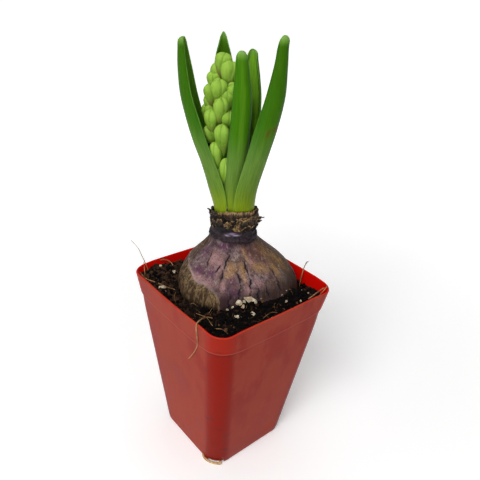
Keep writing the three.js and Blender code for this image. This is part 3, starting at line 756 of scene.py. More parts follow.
def soil_rings():
    """The plug's rings: up the wall, over the top to the bulb, and down its hollow."""
    turn = around(SOIL_SIDES)
    rings = [polar(BULB_PLACE, wall_reach(turn, height), turn, height) for height in SOIL_WALL]
    outer = wall_reach(turn, SOIL_RIM)
    heights, shares, _, _ = bulb_outline(OUTLINE_STEPS)
    c, s = circle(turn)
    squash = 1 / np.hypot(c, s * BULB_WIDTH / BULB_DEPTH)
    touch = np.full(turn.shape, 28.0)
    for _ in range(BULB_FITS):
        level = soil_level(polar(BULB_PLACE, touch, turn, 0))
        touch = np.interp(level, heights, shares) * BULB_WIDTH / 2 * squash
    for t in np.linspace(0, 1, SOIL_TOP_RINGS):
        points = polar(BULB_PLACE, outer + (touch - outer) * t, turn, 0)
        points[:, 2] = soil_level(points)
        rings.append(points)
    contact = rings[-1][:, 2]
    for t in (0.15, 0.35, 0.6, 0.85, 1):
        height = contact + (PLATE_TOP - contact) * t
        share = np.interp(height, heights, shares)
        rings.append(polar(BULB_PLACE, share * BULB_WIDTH / 2 * squash + 0.1, turn, height))
    return rings


def vectors(tree, operation, values, output=0):
    return tree.node("ShaderNodeVectorMath", {"operation": operation}, values, output)


class Growth(Tree):
    """A geometry tree: its named inputs first, and at its end what it makes of them."""

    def __init__(self, name, **inputs):
        super().__init__(bpy.data.node_groups.new(name, "GeometryNodeTree"))
        sockets = self.tree.interface
        for title, kind in {"Geometry": "Geometry", **inputs, "Material": "Material"}.items():
            sockets.new_socket(name=title, in_out="INPUT", socket_type="NodeSocket" + kind)
        sockets.new_socket(name="Geometry", in_out="OUTPUT", socket_type="NodeSocketGeometry")
        given = self.tree.nodes.new("NodeGroupInput").outputs
        self.given = {socket.name: Value(self, socket) for socket in given if socket.name}

    def build(self, kind, output=0, **sockets):
        """A geometry node, with its sockets by name."""
        sockets = {name.replace("_", " "): value for name, value in sockets.items()}
        return self.node("GeometryNode" + kind, {}, sockets, output)

    def chance(self, seed, low=0.0, high=1.0):
        """A random number for each point, or three where its limits are three."""
        kind, first = ("FLOAT_VECTOR", 0) if isinstance(low, tuple) else ("FLOAT", 2)
        limits = {first: low, first + 1: high, "Seed": seed}
        return self.node("FunctionNodeRandomValue", {"data_type": kind}, limits, first // 2)

    def toned(self, placed):
        """Gives each instance a random tone, and makes them all one mesh."""
        settings = {"data_type": "FLOAT", "domain": "INSTANCE"}
        tone = {"Geometry": placed, "Name": "tone", "Value": self.chance(5)}
        placed = self.node("GeometryNodeStoreNamedAttribute", settings, tone)
        return self.build("RealizeInstances", Geometry=placed)

    def done(self, body):
        body = self.build("SetMaterial", Geometry=body, Material=self.given["Material"])
        self.tree.links.new(body.socket, self.tree.nodes.new("NodeGroupOutput").inputs[0])
        return self.tree


def grow(piece, tree, **given):
    """Runs a geometry tree on a piece and works it into the mesh."""
    growth = piece.modifiers.new("growth", "NODES")
    growth.node_group = tree
    for item in tree.interface.items_tree:
        if item.in_out == "INPUT" and item.name in given:
            growth[item.identifier] = given[item.name]
    return baked(piece)


def crumb_tree():
    """Crumbs strewn over a ground at random. Each is a small angular lump of its own shape,
    sunk a little, and carries a random tone."""
    sizes = {"Density": "Float", "Smallest": "Float", "Largest": "Float", "Faces": "Int", "Seed": "Int"}
    tree = Growth("crumbs", **sizes)
    ground, density, smallest, largest, faces, seed, _ = tree.given.values()
    points = tree.build("DistributePointsOnFaces", "Points", Mesh=ground, Density=density, Seed=seed)
    lump = tree.build("MeshIcoSphere", Radius=1.0, Subdivisions=faces)
    spin = tree.chance(2, (0, 0, 0), (6.3, 6.3, 6.3))
    odd = tree.chance(4, (0.55, 0.7, 0.5), (1.3, 1.1, 0.9))
    chance = tree.chance(3)
    size = smallest + (largest - smallest) * chance * chance
    size = vectors(tree, "SCALE", {"Vector": odd, "Scale": size})
    placed = tree.build("InstanceOnPoints", Points=points, Instance=lump, Rotation=spin, Scale=size)
    # Noise over the whole ground breaks every lump's faces another way.
    broken = tree.node("ShaderNodeTexNoise", {}, {"Scale": 1400.0, "Detail": 1.0}, "Color")
    shift = vectors(tree, "SUBTRACT", [broken, (0.5, 0.5, 0.5)])
    shift = vectors(tree, "SCALE", {"Vector": shift, "Scale": largest * 1.1})
    body = tree.build("SetPosition", Geometry=tree.toned(placed), Offset=shift)
    return tree.done(tree.build("SetShadeSmooth", Geometry=body, Shade_Smooth=False))


def peat_finish(name, dark, mid, light, share):
    """Crumbs in three colours, told apart by each one's tone."""
    finish = Finish(name, dark, Specular_IOR_Level=0.1)
    tone, speck = finish.drawn("tone"), finish.noise(0.8, 3, 0.6)
    finish.coat(tone.between(0.2, 0.75), *mid)
    finish.coat(tone.between(1 - share, 1 - share + 0.02), *light)
    finish.coat(speck.between(0.5, 0.7) * 0.4, *mid)
    # The peat has dried browner on the plant's left.
    left = (-math.cos(PLANT_TURN), -math.sin(PLANT_TURN), 0)
    dry = vectors(finish, "DOT_PRODUCT", [finish.place(), left], "Value")
    finish.coat(dry.between(10, 32) * tone.between(0.3, 0.9) * 0.8, 72, 50, 36)
    return finish.done(0.75 + speck * 0.3, speck, 0.2)


soil_shape = soil_rings()
peat = peat_finish("dark peat", (3, 2, 2), (12, 9, 7), (60, 34, 21), 0.05)
bark = peat_finish("bark chips", (20, 12, 8), (50, 29, 19), (92, 62, 42), 0.16)
soil = skin("soil_bed", soil_shape)
mark(soil, tone=0.3)
dress(soil, peat, "soil")
STREWN = [
    # name, finish, how many to a square metre, smallest and largest in metres, how finely
    # faceted, seed
    ("soil_crumbs", peat, 2.6e6, 0.00025, 0.0008, 1, 3),
    ("soil_lumps", peat, 2.6e5, 0.0006, 0.0017, 2, 8),
    ("bark_chips", bark, 9e4, 0.0005, 0.0013, 2, 21),
]
# They lie on the plug's top alone, which is an open sheet.
top = skin("soil_top", soil_shape[len(SOIL_WALL) : len(SOIL_WALL) + SOIL_TOP_RINGS])
work = bmesh.new()
work.from_mesh(top.data)
bmesh.ops.delete(work, geom=[f for f in work.faces if len(f.verts) == 3], context="FACES")
work.to_mesh(top.data)
work.free()
crumbs = crumb_tree()
for name, finish, *sizes in STREWN:
    sizes = dict(zip(("Density", "Smallest", "Largest", "Faces", "Seed"), sizes))
    dress(grow(added(name, top.data.copy()), crumbs, Material=finish, **sizes), finish)
bpy.data.objects.remove(top)

# The perlite.
# Puffed volcanic glass: white to cream grains that lighten the soil. The largest have washed
# together against the front of the bulb, and small ones are scattered over the rest.
PERLITE = [
    # sideways, frontwards, height above the soil, length, width, direction of its length
    (-34.9, 7.4, 1.3, 3.4, 2.1, -25), (-33.2, 9.4, 0.4, 1.7, 1.2, 50), (4.2, 24.0, 1.5, 3.3, 2.8, 20),
    (9.4, 23.3, 1.1, 5.8, 3.4, 10), (11.4, 23.0, 1.2, 3.0, 2.4, -20), (6.4, 23.9, 1.6, 2.0, 1.5, 80),
    (6.7, 23.3, 2.5, 1.6, 1.1, 80), (6.0, 25.6, 0.6, 2.4, 1.7, 85), (1.0, 23.4, 1.4, 2.2, 1.4, 60),
    (-1.2, 24.3, 0.8, 1.6, 0.7, 10), (3.6, 29.4, 0.5, 2.5, 1.9, 10), (5.6, 29.6, 0.3, 1.4, 0.8, 60),
    (10.7, 27.2, 0.6, 3.4, 1.8, 60), (20.6, 26.2, 0.4, 2.0, 0.9, -30), (34.7, 11.0, 0.4, 1.7, 1.4, 0),
    (25.7, 17.8, 0.4, 1.1, 0.8, 0), (14.4, 21.8, 2.4, 0.9, 0.7, 0), (27.2, 11.6, 1.4, 0.8, 0.7, 0),
]
SCATTERED = 36
GRAIN_RINGS = 9
GRAIN_SIDES = 14


def grain_rings(length, width, seed):
    """A lumpy grain about its own middle."""
    along = 2 * np.linspace(0.04, 0.96, GRAIN_RINGS)[:, None] - 1
    bulge = np.sqrt(1 - along**2)
    c, s = circle(around(GRAIN_SIDES))
    rings = np.stack([bulge * c, bulge * s, 0 * c + along], -1)
    swell = 1 + 0.55 * rough_at(rings, 0.9, seed) + 0.3 * rough_at(rings, 0.4, seed + 9)
    return rings * swell[..., None] * (width, width * 0.6, length)


def on_soil(spot, rise):
    """The same place, this far above the soil."""
    return np.array([spot[0], spot[1], soil_level(spot[None])[0] + rise])


def joined(name, parts):
    """Several pieces as one."""
    work = bmesh.new()
    for part in parts:
        work.from_mesh(part.data)
        bpy.data.objects.remove(part)
    mesh = bpy.data.meshes.new(name)
    work.to_mesh(mesh)
    work.free()
    return added(name, mesh)


def perlite_finish():
    finish = Finish("perlite", (204, 194, 168), Specular_IOR_Level=0.3)
    cloud, speck = finish.noise(2.4, 3, 0.6), finish.noise(0.5, 3, 0.7)
    finish.coat(cloud.between(0.35, 0.65), 158, 136, 110)
    finish.coat(speck.between(0.54, 0.7) * 0.7, 88, 68, 48)
    return finish.done(0.8 + speck * 0.1, speck, 0.25)


grains = []
for side, front, rise, length, width, turn in PERLITE:
    grains.append((on_soil(at(side, front, 0.0), rise), length / 2, width / 2, turn))
perlite_draw = random.Random(17)
for _ in range(SCATTERED):
    turn, radius = perlite_draw.uniform(0, 360), perlite_draw.uniform(28, 45)
    spot = polar(BULB_PLACE, radius, turn, 0.0)
    if np.abs(spot[:2]).max() < POT_RIM / 2 - 4 and not 60 < turn < 175:
        size = perlite_draw.uniform(0.3, 1.1)
        width = size * perlite_draw.uniform(0.6, 1)
        grains.append((on_soil(spot, 0.3), size, width, perlite_draw.uniform(0, 180)))
parts = []
for k, (spot, length, width, turn) in enumerate(grains):
    lie = Matrix.Rotation(math.radians(90), 3, "X") @ Matrix.Rotation(0.5 * k, 3, "Z")
    lie = Matrix.Rotation(-math.radians(turn) + PLANT_TURN + math.pi / 2, 3, "Z") @ lie
    parts.append(skin("grain", grain_rings(length, width, 3 * k) @ np.array(lie).T + spot))
perlite = joined("perlite_grains", parts)
perlite.data.polygons.foreach_set("use_smooth", [False] * len(perlite.data.polygons))
dress(perlite, perlite_finish())

# The fibres.
# Dead hair roots, tan and brittle: long ones that hang over the rim or stand up from the
# soil, and short ones that lie across it.
LONG_FIBRES = [
    # (radius, points as sideways, frontwards, height). The first one hangs down the pot's
    # face, just clear of it, and curls out at its end.
    (0.3, [
        (-8, 31, 95.5), (-11, 35, 98.5), (-14, 41.6, 100.2), (-14.2, 42.4, 96), (-13.6, 41.3, 90),
        (-13.9, 39.2, 85.4), (-15.2, 37.2, 80.4), (-17.4, 34.6, 74.8), (-18.6, 32.9, 72.2),
    ]),
    (0.2, [(-44, -5, 97), (-45.7, -4, 102.8), (-47.2, -4, 106.3), (-49, -4, 110.8), (-52.6, -4, 115)]),
    (0.36, [(-41, -14.6, 97.8), (-37.5, -14.6, 98.9), (-34, -13.4, 98.6), (-31, -10.8, 96.2)]),
    (0.3, [(36.4, -8, 92), (37, -9.6, 96), (37.8, -11.4, 99.8), (38.6, -12, 103), (39.4, -12.2, 105)]),
    (0.2, [(38.6, -12, 102.6), (39.6, -12.6, 104.4), (40.6, -12.6, 105.2)]),
    (0.3, [(37.8, 16, 99.7), (41.1, 12, 99.8), (45, 7, 99.7), (47.4, 3, 98.6), (48, 0.6, 97)]),
    (0.24, [(49, 2, 99.2), (47.6, 5, 99.3), (45.8, 7.4, 98.6), (44, 9, 97)]),
    (0.2, [(-48.6, -3.4, 97), (-44.1, 2.1, 96.6), (-39.7, 4.1, 96.3), (-35.3, 5.7, 95.8), (-32.1, 6.7, 95)]),
    (0.15, [(-32.1, 6.7, 95), (-28, 7.3, 94), (-28.3, 10.3, 93), (-27.4, 14.6, 92.2)]),
    (0.22, [(-47.6, -10.7, 99), (-46.2, -4.7, 97.6), (-45.2, -1, 97.2)]),
    (0.13, [(-15.9, 26.3, 94.2), (-12.9, 28.4, 94.6), (-10.4, 29.8, 94.4), (-8.7, 33.5, 94.8)]),
    (0.14, [(-8.7, 33.5, 94.8), (-6.2, 37, 94.4), (-2.9, 38.1, 94.8), (-0.1, 40.8, 94.6)]),
    (0.12, [(-19.8, 16.9, 92.6), (-18.3, 17.2, 93.6), (-16.7, 17.9, 93.2)]),
    (0.13, [(-10, 25.8, 94.2), (-9, 23.9, 95), (-8.4, 22.6, 95.6)]),
    (0.13, [(15.8, 28.4, 95.4), (18.2, 25.9, 96.2), (20.2, 24.2, 96.2), (22.7, 23.4, 95.6)]),
]
SHORT_FIBRES = 70
SHORT_FIBRE_POINTS = 4

long_lines = [[at(*point) for point in points] for _, points in LONG_FIBRES]
fibres = strings("hair_roots", long_lines, [radius for radius, _ in LONG_FIBRES], 1, 0.45)
dress(fibres, string_finish("dry hair root", (176, 134, 88), (116, 80, 50), 0.35))

fibre_draw = random.Random(29)
short_lines, short_radii = [], []
while len(short_lines) < SHORT_FIBRES:
    turn, radius = fibre_draw.uniform(0, 360), fibre_draw.uniform(27, 46)
    spot = polar(BULB_PLACE, radius, turn, 0.0)
    if np.abs(spot[:2]).max() > POT_RIM / 2 - 5:
        continue
    line, way, bend = [], fibre_draw.uniform(0, 360), fibre_draw.uniform(-40, 40)
    for k in range(SHORT_FIBRE_POINTS):
        line.append(on_soil(spot, fibre_draw.uniform(0.2, 1.0)))
        spot = spot + polar((0, 0), fibre_draw.uniform(0.8, 2.0), way + bend * k, 0.0)
        spot[:2] = np.clip(spot[:2], -POT_RIM / 2 + 4, POT_RIM / 2 - 4)
    short_lines.append(line)
    short_radii.append(fibre_draw.uniform(0.05, 0.12))
threads = strings("short_roots", short_lines, short_radii, 1, 0.45)
dress(threads, string_finish("peat fibre", (122, 86, 52), (74, 50, 32), 0.5))

# The neck scales.
# The withered tops of the bulb's skins: a torn collar of thin, brown, brittle sheets round
# the leaves, tan inside and blackened where rotten, with curling flakes and crumpled scraps.
NECK_RADIUS = 11
# Half the thickness of a sheet and of a flake.
SHEET_HALF = 0.16
FLAKE_HALF = 0.13
SHEET_ROWS = 16
FLAKE_ROWS = 11
FLAKE_COLUMNS = 7
SHEETS = [
    # direction, half its spread, foot, top, radius, flare, how deep its tears are, tone
    (46, 92, 127.4, 137, 10.6, 0.1, 0.6, 0.54), (146, 60, 127.4, 135.8, 10.8, 0.1, 1.0, 0.1),
    (90, 176, 123.0, 129.8, 10.6, 0.05, 0.4, 2.2), (58, 44, 128.6, 135.4, 11.0, 0.2, 0.9, 0.36),
    (36, 26, 128.2, 135.2, 11.3, 0.2, 1.2, 0.36), (128, 40, 127.8, 135, 11.1, 0.2, 1.4, 0.1),
    (104, 26, 128.6, 132.4, 11.3, 0.2, 1.4, 0.2), (140, 20, 129.6, 132.8, 11.5, 0.3, 1.6, 0.3),
    (160, 34, 127.2, 136.6, 11.1, 0.3, 1.2, 0.02), (14, 34, 127.2, 136.2, 11.2, 0.3, 1.1, 0.06),
    (205, 42, 126.8, 133.4, 11.0, 0.3, 1.5, 0.3), (252, 40, 126.8, 132.4, 11.0, 0.3, 1.5, 0.42),
    (300, 42, 126.8, 132.8, 11.0, 0.3, 1.4, 0.26), (345, 34, 126.8, 135.6, 11.0, 0.3, 1.6, 0.2),
    (60, 26, 129.2, 135.2, 11.5, 0.3, 1.3, 0.5), (84, 9, 129.6, 132.6, 11.9, 0.5, 1.6, 0.9),
    (106, 8, 130.2, 133.2, 11.8, 0.4, 1.6, 0.66), (124, 9, 131, 134, 11.8, 0.4, 1.6, 0.5),
    (112, 24, 128, 131, 11.6, 0.3, 1.6, 0.02), (150, 26, 127.2, 130.6, 11.4, 0.3, 1.8, 0.0),
    (60, 12, 129.2, 132.2, 11.7, 0.3, 1.2, 0.0), (40, 18, 127.6, 130.6, 11.6, 0.3, 1.8, 0.02),
    (8, 26, 127.2, 130.4, 11.4, 0.4, 1.8, 0.02), (180, 28, 127, 130, 11.4, 0.3, 1.4, 0.06),
    (228, 30, 126.6, 129.6, 11.4, 0.3, 1.5, 0.1), (280, 30, 126.6, 129.6, 11.4, 0.3, 1.5, 0.08),
    (324, 28, 126.6, 129.6, 11.4, 0.3, 1.5, 0.14),
]
FLAKES = [
    # direction, foot, length, width, how far it leans out, twist, tone
    (0, 129, 5.6, 2.2, 66, 30, 0.35), (3, 129.6, 4.2, 2.4, 52, -30, 0.6),
    (-8, 127.4, 4.2, 2.6, 70, 10, 0.05), (-4, 126.4, 2.4, 2.4, 50, 0, 0.02),
    (178, 133.2, 3.4, 1.8, 66, 20, 0.2), (168, 131, 3.6, 2.2, 34, -20, 0.3),
    (118, 133.4, 4.6, 1.6, 20, 60, 0.15), (107, 138.9, 2.0, 0.9, 20, 60, 0.62),
    (132, 132, 4.4, 2.6, 30, -40, 0.2), (98, 130.4, 4.0, 2.4, 36, 30, 0.75),
    (84, 129.4, 4.2, 2.2, 38, -50, 0.12), (80, 128.4, 3.4, 3.0, 46, 20, 1.0),
    (64, 128.8, 3.4, 2.4, 50, -30, 0.84), (52, 128, 4.0, 2.4, 34, 50, 0.5),
    (88, 133, 4.2, 2.0, 22, 70, 0.1), (36, 130.4, 4.0, 2.2, 30, 20, 0.3),
    (28, 127, 3.2, 2.4, 46, -20, 0.06), (150, 127.4, 3.4, 2.6, 40, 30, 0.6),
    (208, 129.6, 4.8, 2.8, 34, 20, 0.4), (238, 130.8, 4.4, 2.4, 40, -30, 0.3),
    (266, 129, 4.8, 2.8, 30, 30, 0.5), (296, 130.6, 4.4, 2.6, 38, -20, 0.3),
    (322, 129, 4.4, 2.6, 34, 20, 0.4),
]
SCRAPS = 84
SCRAP_SPACING = 137.5
SCRAP_TONES = (-0.3, -0.2, -0.1, 0, 0, 0.1, 0.4, 0.9)


def band(outer, inner):
    """Rings for a thin sheet between two grids of points, each row out along one and back
    along the other."""
    return np.concatenate([outer, inner[:, ::-1]], 1)


def torn_sheet(number, direction, spread, foot, top, radius, flare, tears, tone):
    """A scale bent round the neck, with a torn upper edge and a creased face."""
    across = np.linspace(1, -1, max(12, int(spread * 0.9)))[None, :]
    turn = direction + spread * across
    jag = polar((0, 0), NECK_RADIUS, turn, 0)
    ragged = rough_at(jag, 2.6, number) + 0.7 * rough_at(jag, 0.9, number + 40)
    slope = 1.6 * np.sin(np.radians(turn)) if spread > 90 else 0
    crown = top + slope + tears * ragged - (1 - spread / 180) * (top - foot) * 0.5 * across**4
    hem = foot + 0.8 * rough_at(jag, 1.8, number + 80) + (1 - spread / 180) * 2.4 * across**4
    t = np.linspace(0, 1, SHEET_ROWS)[:, None]
    height = hem + (crown - hem) * t
    place = polar((0, 0), NECK_RADIUS, turn, height)
    crease = 0.34 * rough_at(place, 1.7, number + 7) + 0.16 * rough_at(place, 0.7, number + 3)
    out = radius + flare * t**2 + crease * (0.4 + t)
    heights, shares = np.array(BULB_PROFILE).T
    hug = np.interp(height, heights, shares) * BULB_WIDTH / 2 + 0.2 + 0.5 * np.abs(crease)
    out = np.where(height < NECK_TOP + 0.3, np.maximum(out, hug), out)
    faces = [polar(NECK_PLACE, out + half, turn, height) for half in (SHEET_HALF, -SHEET_HALF)]
    piece = skin("sheet", band(*faces), ends="strip")
    lilac = np.tile(patches(PATCHES["lilac"], turn, height), 2)
    mark(piece, tone=tone, up=np.tile(t + 0 * turn, 2), lilac=lilac)
    return piece


def flake(number, direction, foot, length, width, lean, twist, tone):
    """A flake that curls off the neck, broken at its tip."""
    t = np.linspace(0, 1, FLAKE_ROWS)[:, None]
    tilt = np.radians(lean * (0.3 + 0.9 * t))
    reach = NECK_RADIUS + length * np.cumsum(np.sin(tilt), 0) / FLAKE_ROWS
    height = foot + length * np.cumsum(np.cos(tilt), 0) / FLAKE_ROWS
    half = width / 2 * (1 - 0.65 * t**2) * (1 + 0.3 * np.sin(9 * t + number))
    across = np.linspace(-1, 1, FLAKE_COLUMNS)[None, :]
    angle = np.radians(twist) * t
    faces = []
    for thick in (FLAKE_HALF, -FLAKE_HALF):
        off = 0.35 * half * across**2 + thick
        along = half * across * np.cos(angle) - off * np.sin(angle)
        away = half * across * np.sin(angle) + off * np.cos(angle)
        radius = reach + away * np.cos(tilt)
        turn = direction - np.degrees(along / radius)
        faces.append(polar(NECK_PLACE, radius, turn, height - away * np.sin(tilt)))
    piece = skin("flake", band(*faces), ends="strip")
    mark(piece, tone=tone, up=np.repeat(t, 2 * FLAKE_COLUMNS, 1))
    return piece


def scale_finish():
    finish = Finish("dry bulb scale", (16, 12, 14), Specular_IOR_Level=0.25)
    tone, up = finish.drawn("tone"), finish.drawn("up")
    cloud, streak = finish.noise(2.4, 4, 0.65), finish.noise(0.9, 4, 0.65, (1, 1, 0.4))
    warm = (tone + (cloud - 0.5) * 0.8 + up.between(0.82, 0.97) * 0.45).clamped()
    finish.coat(warm.between(0.1, 0.42), 52, 40, 27)
    finish.coat(warm.between(0.42, 0.95), 150, 119, 78)
    finish.coat(streak.between(0.56, 0.4) * 0.85, 18, 14, 12)
    # The widest sheet, whose tone is over 1, is the bulb's outer skin going on upwards.
    blotch = finish.noise(1.6, 4, 0.7).between(0.42, 0.62)
    finish.coat(tone.between(1.4, 1.8), finish.mix(blotch, tint(16, 12, 15), tint(52, 36, 44)))
    # Lilac painted highlights on the folds of the sheet at the neck.
    finish.coat(finish.drawn("lilac"), 164, 148, 176)
    return finish.done(0.8 - streak * 0.3, streak * 0.6 + cloud * 0.4, 0.4)


scale_parts = [torn_sheet(k, *row) for k, row in enumerate(SHEETS)]
scale_parts += [flake(k, *row) for k, row in enumerate(FLAKES)]
scrap_draw = random.Random(6)
for k in range(SCRAPS):
    foot, length = scrap_draw.uniform(127, 132.6), scrap_draw.uniform(1.6, 3.4)
    width, lean = scrap_draw.uniform(1.2, 3.0), scrap_draw.uniform(4, 56)
    twist, tone = scrap_draw.uniform(-80, 80), scrap_draw.choice(SCRAP_TONES)
    scale_parts.append(flake(k + 40, SCRAP_SPACING * k, foot, length, width, lean, twist, tone))
dress(joined("torn_scales", scale_parts), scale_finish(), "neck_scales")

# The leaves.
# Five thick, fleshy straps, channelled lengthwise, that wrap round each other in the neck
# and end in a hood. They are glossy and finely veined, yellowish low down, with a bluish
# bloom on their backs. Each is lofted through listed stations.
LEAF_THICK = 1.6
MARGIN_THICK = 0.7
LEAF_RINGS = 150
LEAF_POINTS = 20
HOOD_DEPTH = 2.6
SHOOT_FOOT = 118.3
OUTER_WRAP = (*NECK_PLACE, 8.9)
INNER_WRAP = (*NECK_PLACE, 6.9)
LEAVES = {
    # height, the channel's axis sideways and frontwards, its radius, how far the strap
    # reaches round it each way in degrees, which way its back looks
    "leaf_left": [
        (SHOOT_FOOT, *OUTER_WRAP, 61, 171), (128, *OUTER_WRAP, 61, 171), (136, -1.4, -5, 8.9, 61, 169),
        (147, -4.5, -5, 9.1, 68, 166), (158.5, -9.9, -4.8, 7.4, 82, 174), (169, -14.7, -4.6, 6.8, 88, 178),
        (180, -19, -4.4, 6.1, 94, 183), (190, -22.5, -4.2, 5.1, 98, 188), (201, -25, -4, 3.7, 102, 191),
        (209, -26.4, -4, 2.4, 104, 190), (213.2, -27, -4, 1.7, 104, 190),
    ],
    "leaf_right": [
        (SHOOT_FOOT, *OUTER_WRAP, 57, 36), (128, *OUTER_WRAP, 57, 36), (136, *OUTER_WRAP, 58, 36),
        (149, 1.2, 0.2, 7.3, 67, 40), (165, 5.4, 3.2, 6.4, 72, 46), (179, 8.9, 5, 5.9, 76, 50),
        (193, 12, 6.7, 4.7, 80, 52), (205.5, 13.5, 7.4, 2.9, 86, 54), (212.5, 13.9, 7.5, 2.1, 92, 56),
        (217.2, 14.7, 7.8, 1.6, 98, 58),
    ],
    "leaf_front": [
        (SHOOT_FOOT, *NECK_PLACE, 7.8, 44, 88), (128, *NECK_PLACE, 7.9, 48, 90),
        (136, -1.1, -4.5, 7.4, 52, 90), (149, -1.5, -0.6, 5.2, 68, 90), (165, -1.3, 2.7, 4.7, 75, 87),
        (180, -0.8, 4.7, 4.3, 80, 87), (190, -0.7, 5.6, 4, 84, 87), (201, -1.3, 6.6, 2.8, 88, 87),
        (207, -1.9, 7.2, 2.1, 92, 87), (210.3, -2, 7.4, 1.7, 96, 87),
    ],
    "leaf_back_right": [
        (SHOOT_FOOT, *INNER_WRAP, 38, 315), (128, *INNER_WRAP, 38, 315), (136, -0.9, -5.4, 6.5, 40, 313),
        (150, -0.6, -5.2, 7, 56, 305), (170, 0.7, -5.2, 6.9, 66, 301), (188, 1.1, -4.9, 6.3, 72, 300),
        (198.5, 1.2, -4.8, 4.8, 76, 299), (206, 2.1, -5, 2.4, 84, 298), (210, 2.4, -5.2, 1.7, 92, 298),
    ],
    "leaf_back": [
        (SHOOT_FOOT, *OUTER_WRAP, 42, 287), (128, *OUTER_WRAP, 42, 287), (136, -1.5, -5.2, 8.9, 42, 283),
        (150, -3.4, -7.3, 8.5, 43, 272), (170, -6.4, -8.8, 7.7, 52, 270), (190, -9, -9.6, 6.4, 62, 269),
        (204, -10, -10, 4, 69, 268), (211, -10.4, -10.2, 1.9, 76, 268), (215.6, -10.6, -10.3, 0.6, 84, 268),
    ],
}
# How much of the light reaches into each leaf's channel: 0.4 where none is given.
CHANNEL_LIGHT = {"leaf_back_right": 1.0, "leaf_back": 0.22, "leaf_left": 0.5}
# A healed brown scar on the right leaf's back: height, half its height, place across the
# leaf, half its width.
SCARS = {"leaf_right": [(179.9, 1.4, -0.24, 0.26), (178.2, 2, 0.24, 0.1)]}


def leaf_piece(leaf, stations):
    place = np.linspace(0, 1, LEAF_RINGS)
    rows = blend(stations, (len(stations) - 1) * (1 - (1 - place) ** 1.25))
    height, side, front, radius, reach, facing = (column[:, None] for column in rows.T)
    # The strap closes over itself in a dome, the leaf's hood.
    hood = np.clip(1 - (height.max() - height) / HOOD_DEPTH, 0, 0.998)
    radius = radius * np.sqrt(1 - hood**2)
    share = np.cos(np.pi * (np.arange(LEAF_POINTS) + 0.5) / LEAF_POINTS)[None, :]
    thick = np.minimum(LEAF_THICK, 0.9 * radius)
    half = (MARGIN_THICK + (thick - MARGIN_THICK) * (1 - share**2)) / 2 * np.sqrt(1 - share**14)
    turn = facing + share * reach
    faces = [polar((side, front), radius + face * half, turn, height) for face in (1, -1)]
    piece = skin(leaf + "_blade", band(*faces), ends="strip")
    across = np.repeat(share, LEAF_RINGS, 0)
    along = np.repeat((height - SHOOT_FOOT) / (height.max() - SHOOT_FOOT), LEAF_POINTS, 1)
    scar = 0 * across
    for level, tall, middle, wide in SCARS.get(leaf, []):
        scar += np.exp(-((((height - level) / tall) ** 2 + ((share - middle) / wide) ** 2) ** 2))
    arc = np.radians(share * reach) * radius
    vein = np.stack([arc, height * 0.03 + 0 * arc, facing / 9 + 0 * arc], -1)
    mark(piece, across=band(across, across), along=band(along, along), vein=band(vein, vein))
    mark(piece, inner=band(0 * across, 1 + 0 * across), scar=band(scar, 0 * scar))
    mark(piece, lit=CHANNEL_LIGHT.get(leaf, 0.4), pale=leaf == "leaf_front")
    return piece


def leaf_finish():
    plain = {"Specular_IOR_Level": 0.1, "IOR": 1.25, "Subsurface_Weight": 0.1}
    plain |= {"Subsurface_Radius": (0.4, 1.0, 0.1), "Subsurface_Scale": 0.001}
    finish = Finish("hyacinth leaf", (54, 102, 4), **plain)
    across, along, inner, lit = (finish.drawn(name) for name in ("across", "along", "inner", "lit"))
    vein = finish.drawn("vein", "Vector")
    line, stripe = finish.noise(0.42, 2, 0.5, vein), finish.noise(1.6, 3, 0.5, vein)
    cloud = finish.noise(9, 3, 0.5, (1, 1, 0.45))
    edge = across.maths("ABSOLUTE")
    finish.coat(stripe.between(0.38, 0.66), 68, 112, 16)
    finish.coat(edge.between(0.35, 0.95) * 0.65, 44, 94, 26)
    finish.coat(cloud.between(0.5, 0.64) * along.between(0.3, 0.6) * (1 - edge) * 0.9, 60, 106, 0)
    # Painted shade darkens the upper part of each leaf but the front one.
    finish.coat(along.between(0.4, 0.9) * (finish.drawn("pale") * -0.85 + 0.85), 46, 86, 6)
    # Paler and yellower down to the neck.
    finish.coat(along.between(0.66, 0.42) * 0.54, 106, 130, 66)
    finish.coat(along.between(0.52, 0.26) * 0.8, 91, 118, 36)
    finish.coat(along.between(0.36, 0.17), 121, 141, 22)
    # The channel, which is shaded, and brighter where light reaches into it.
    dim = finish.mix(lit, tint(30, 70, 0), tint(118, 170, 44))
    finish.coat(inner * along.between(0.2, 0.5) * 0.9, dim)
    finish.coat(inner * lit * edge.between(0.5, 0.8) * 0.7, 36, 84, 18)
    # The tip, with a painted highlight on its hood, then the margins and the veins.
    finish.coat(along.between(0.955, 0.99) * 0.7, 110, 152, 62)
    finish.coat(along.between(0.98, 0.997) * 0.16, 186, 208, 150)
    finish.coat(edge.between(0.94, 0.985) * 0.6, 104, 150, 62)
    finish.coat(line.between(0.52, 0.4) * 0.22, 28, 70, 4)
    finish.coat(finish.drawn("scar") * (line.between(0.34, 0.5) * 0.5 + 0.4), 86, 58, 22)
    rough = 0.32 + cloud * 0.16 + edge.between(0.7, 0.95) * 0.5
    return finish.done(rough, line * 0.5 + stripe * 0.5, 0.1)


leaf_skin = leaf_finish()
for leaf, stations in LEAVES.items():
    dress(leaf_piece(leaf, stations), leaf_skin, leaf)

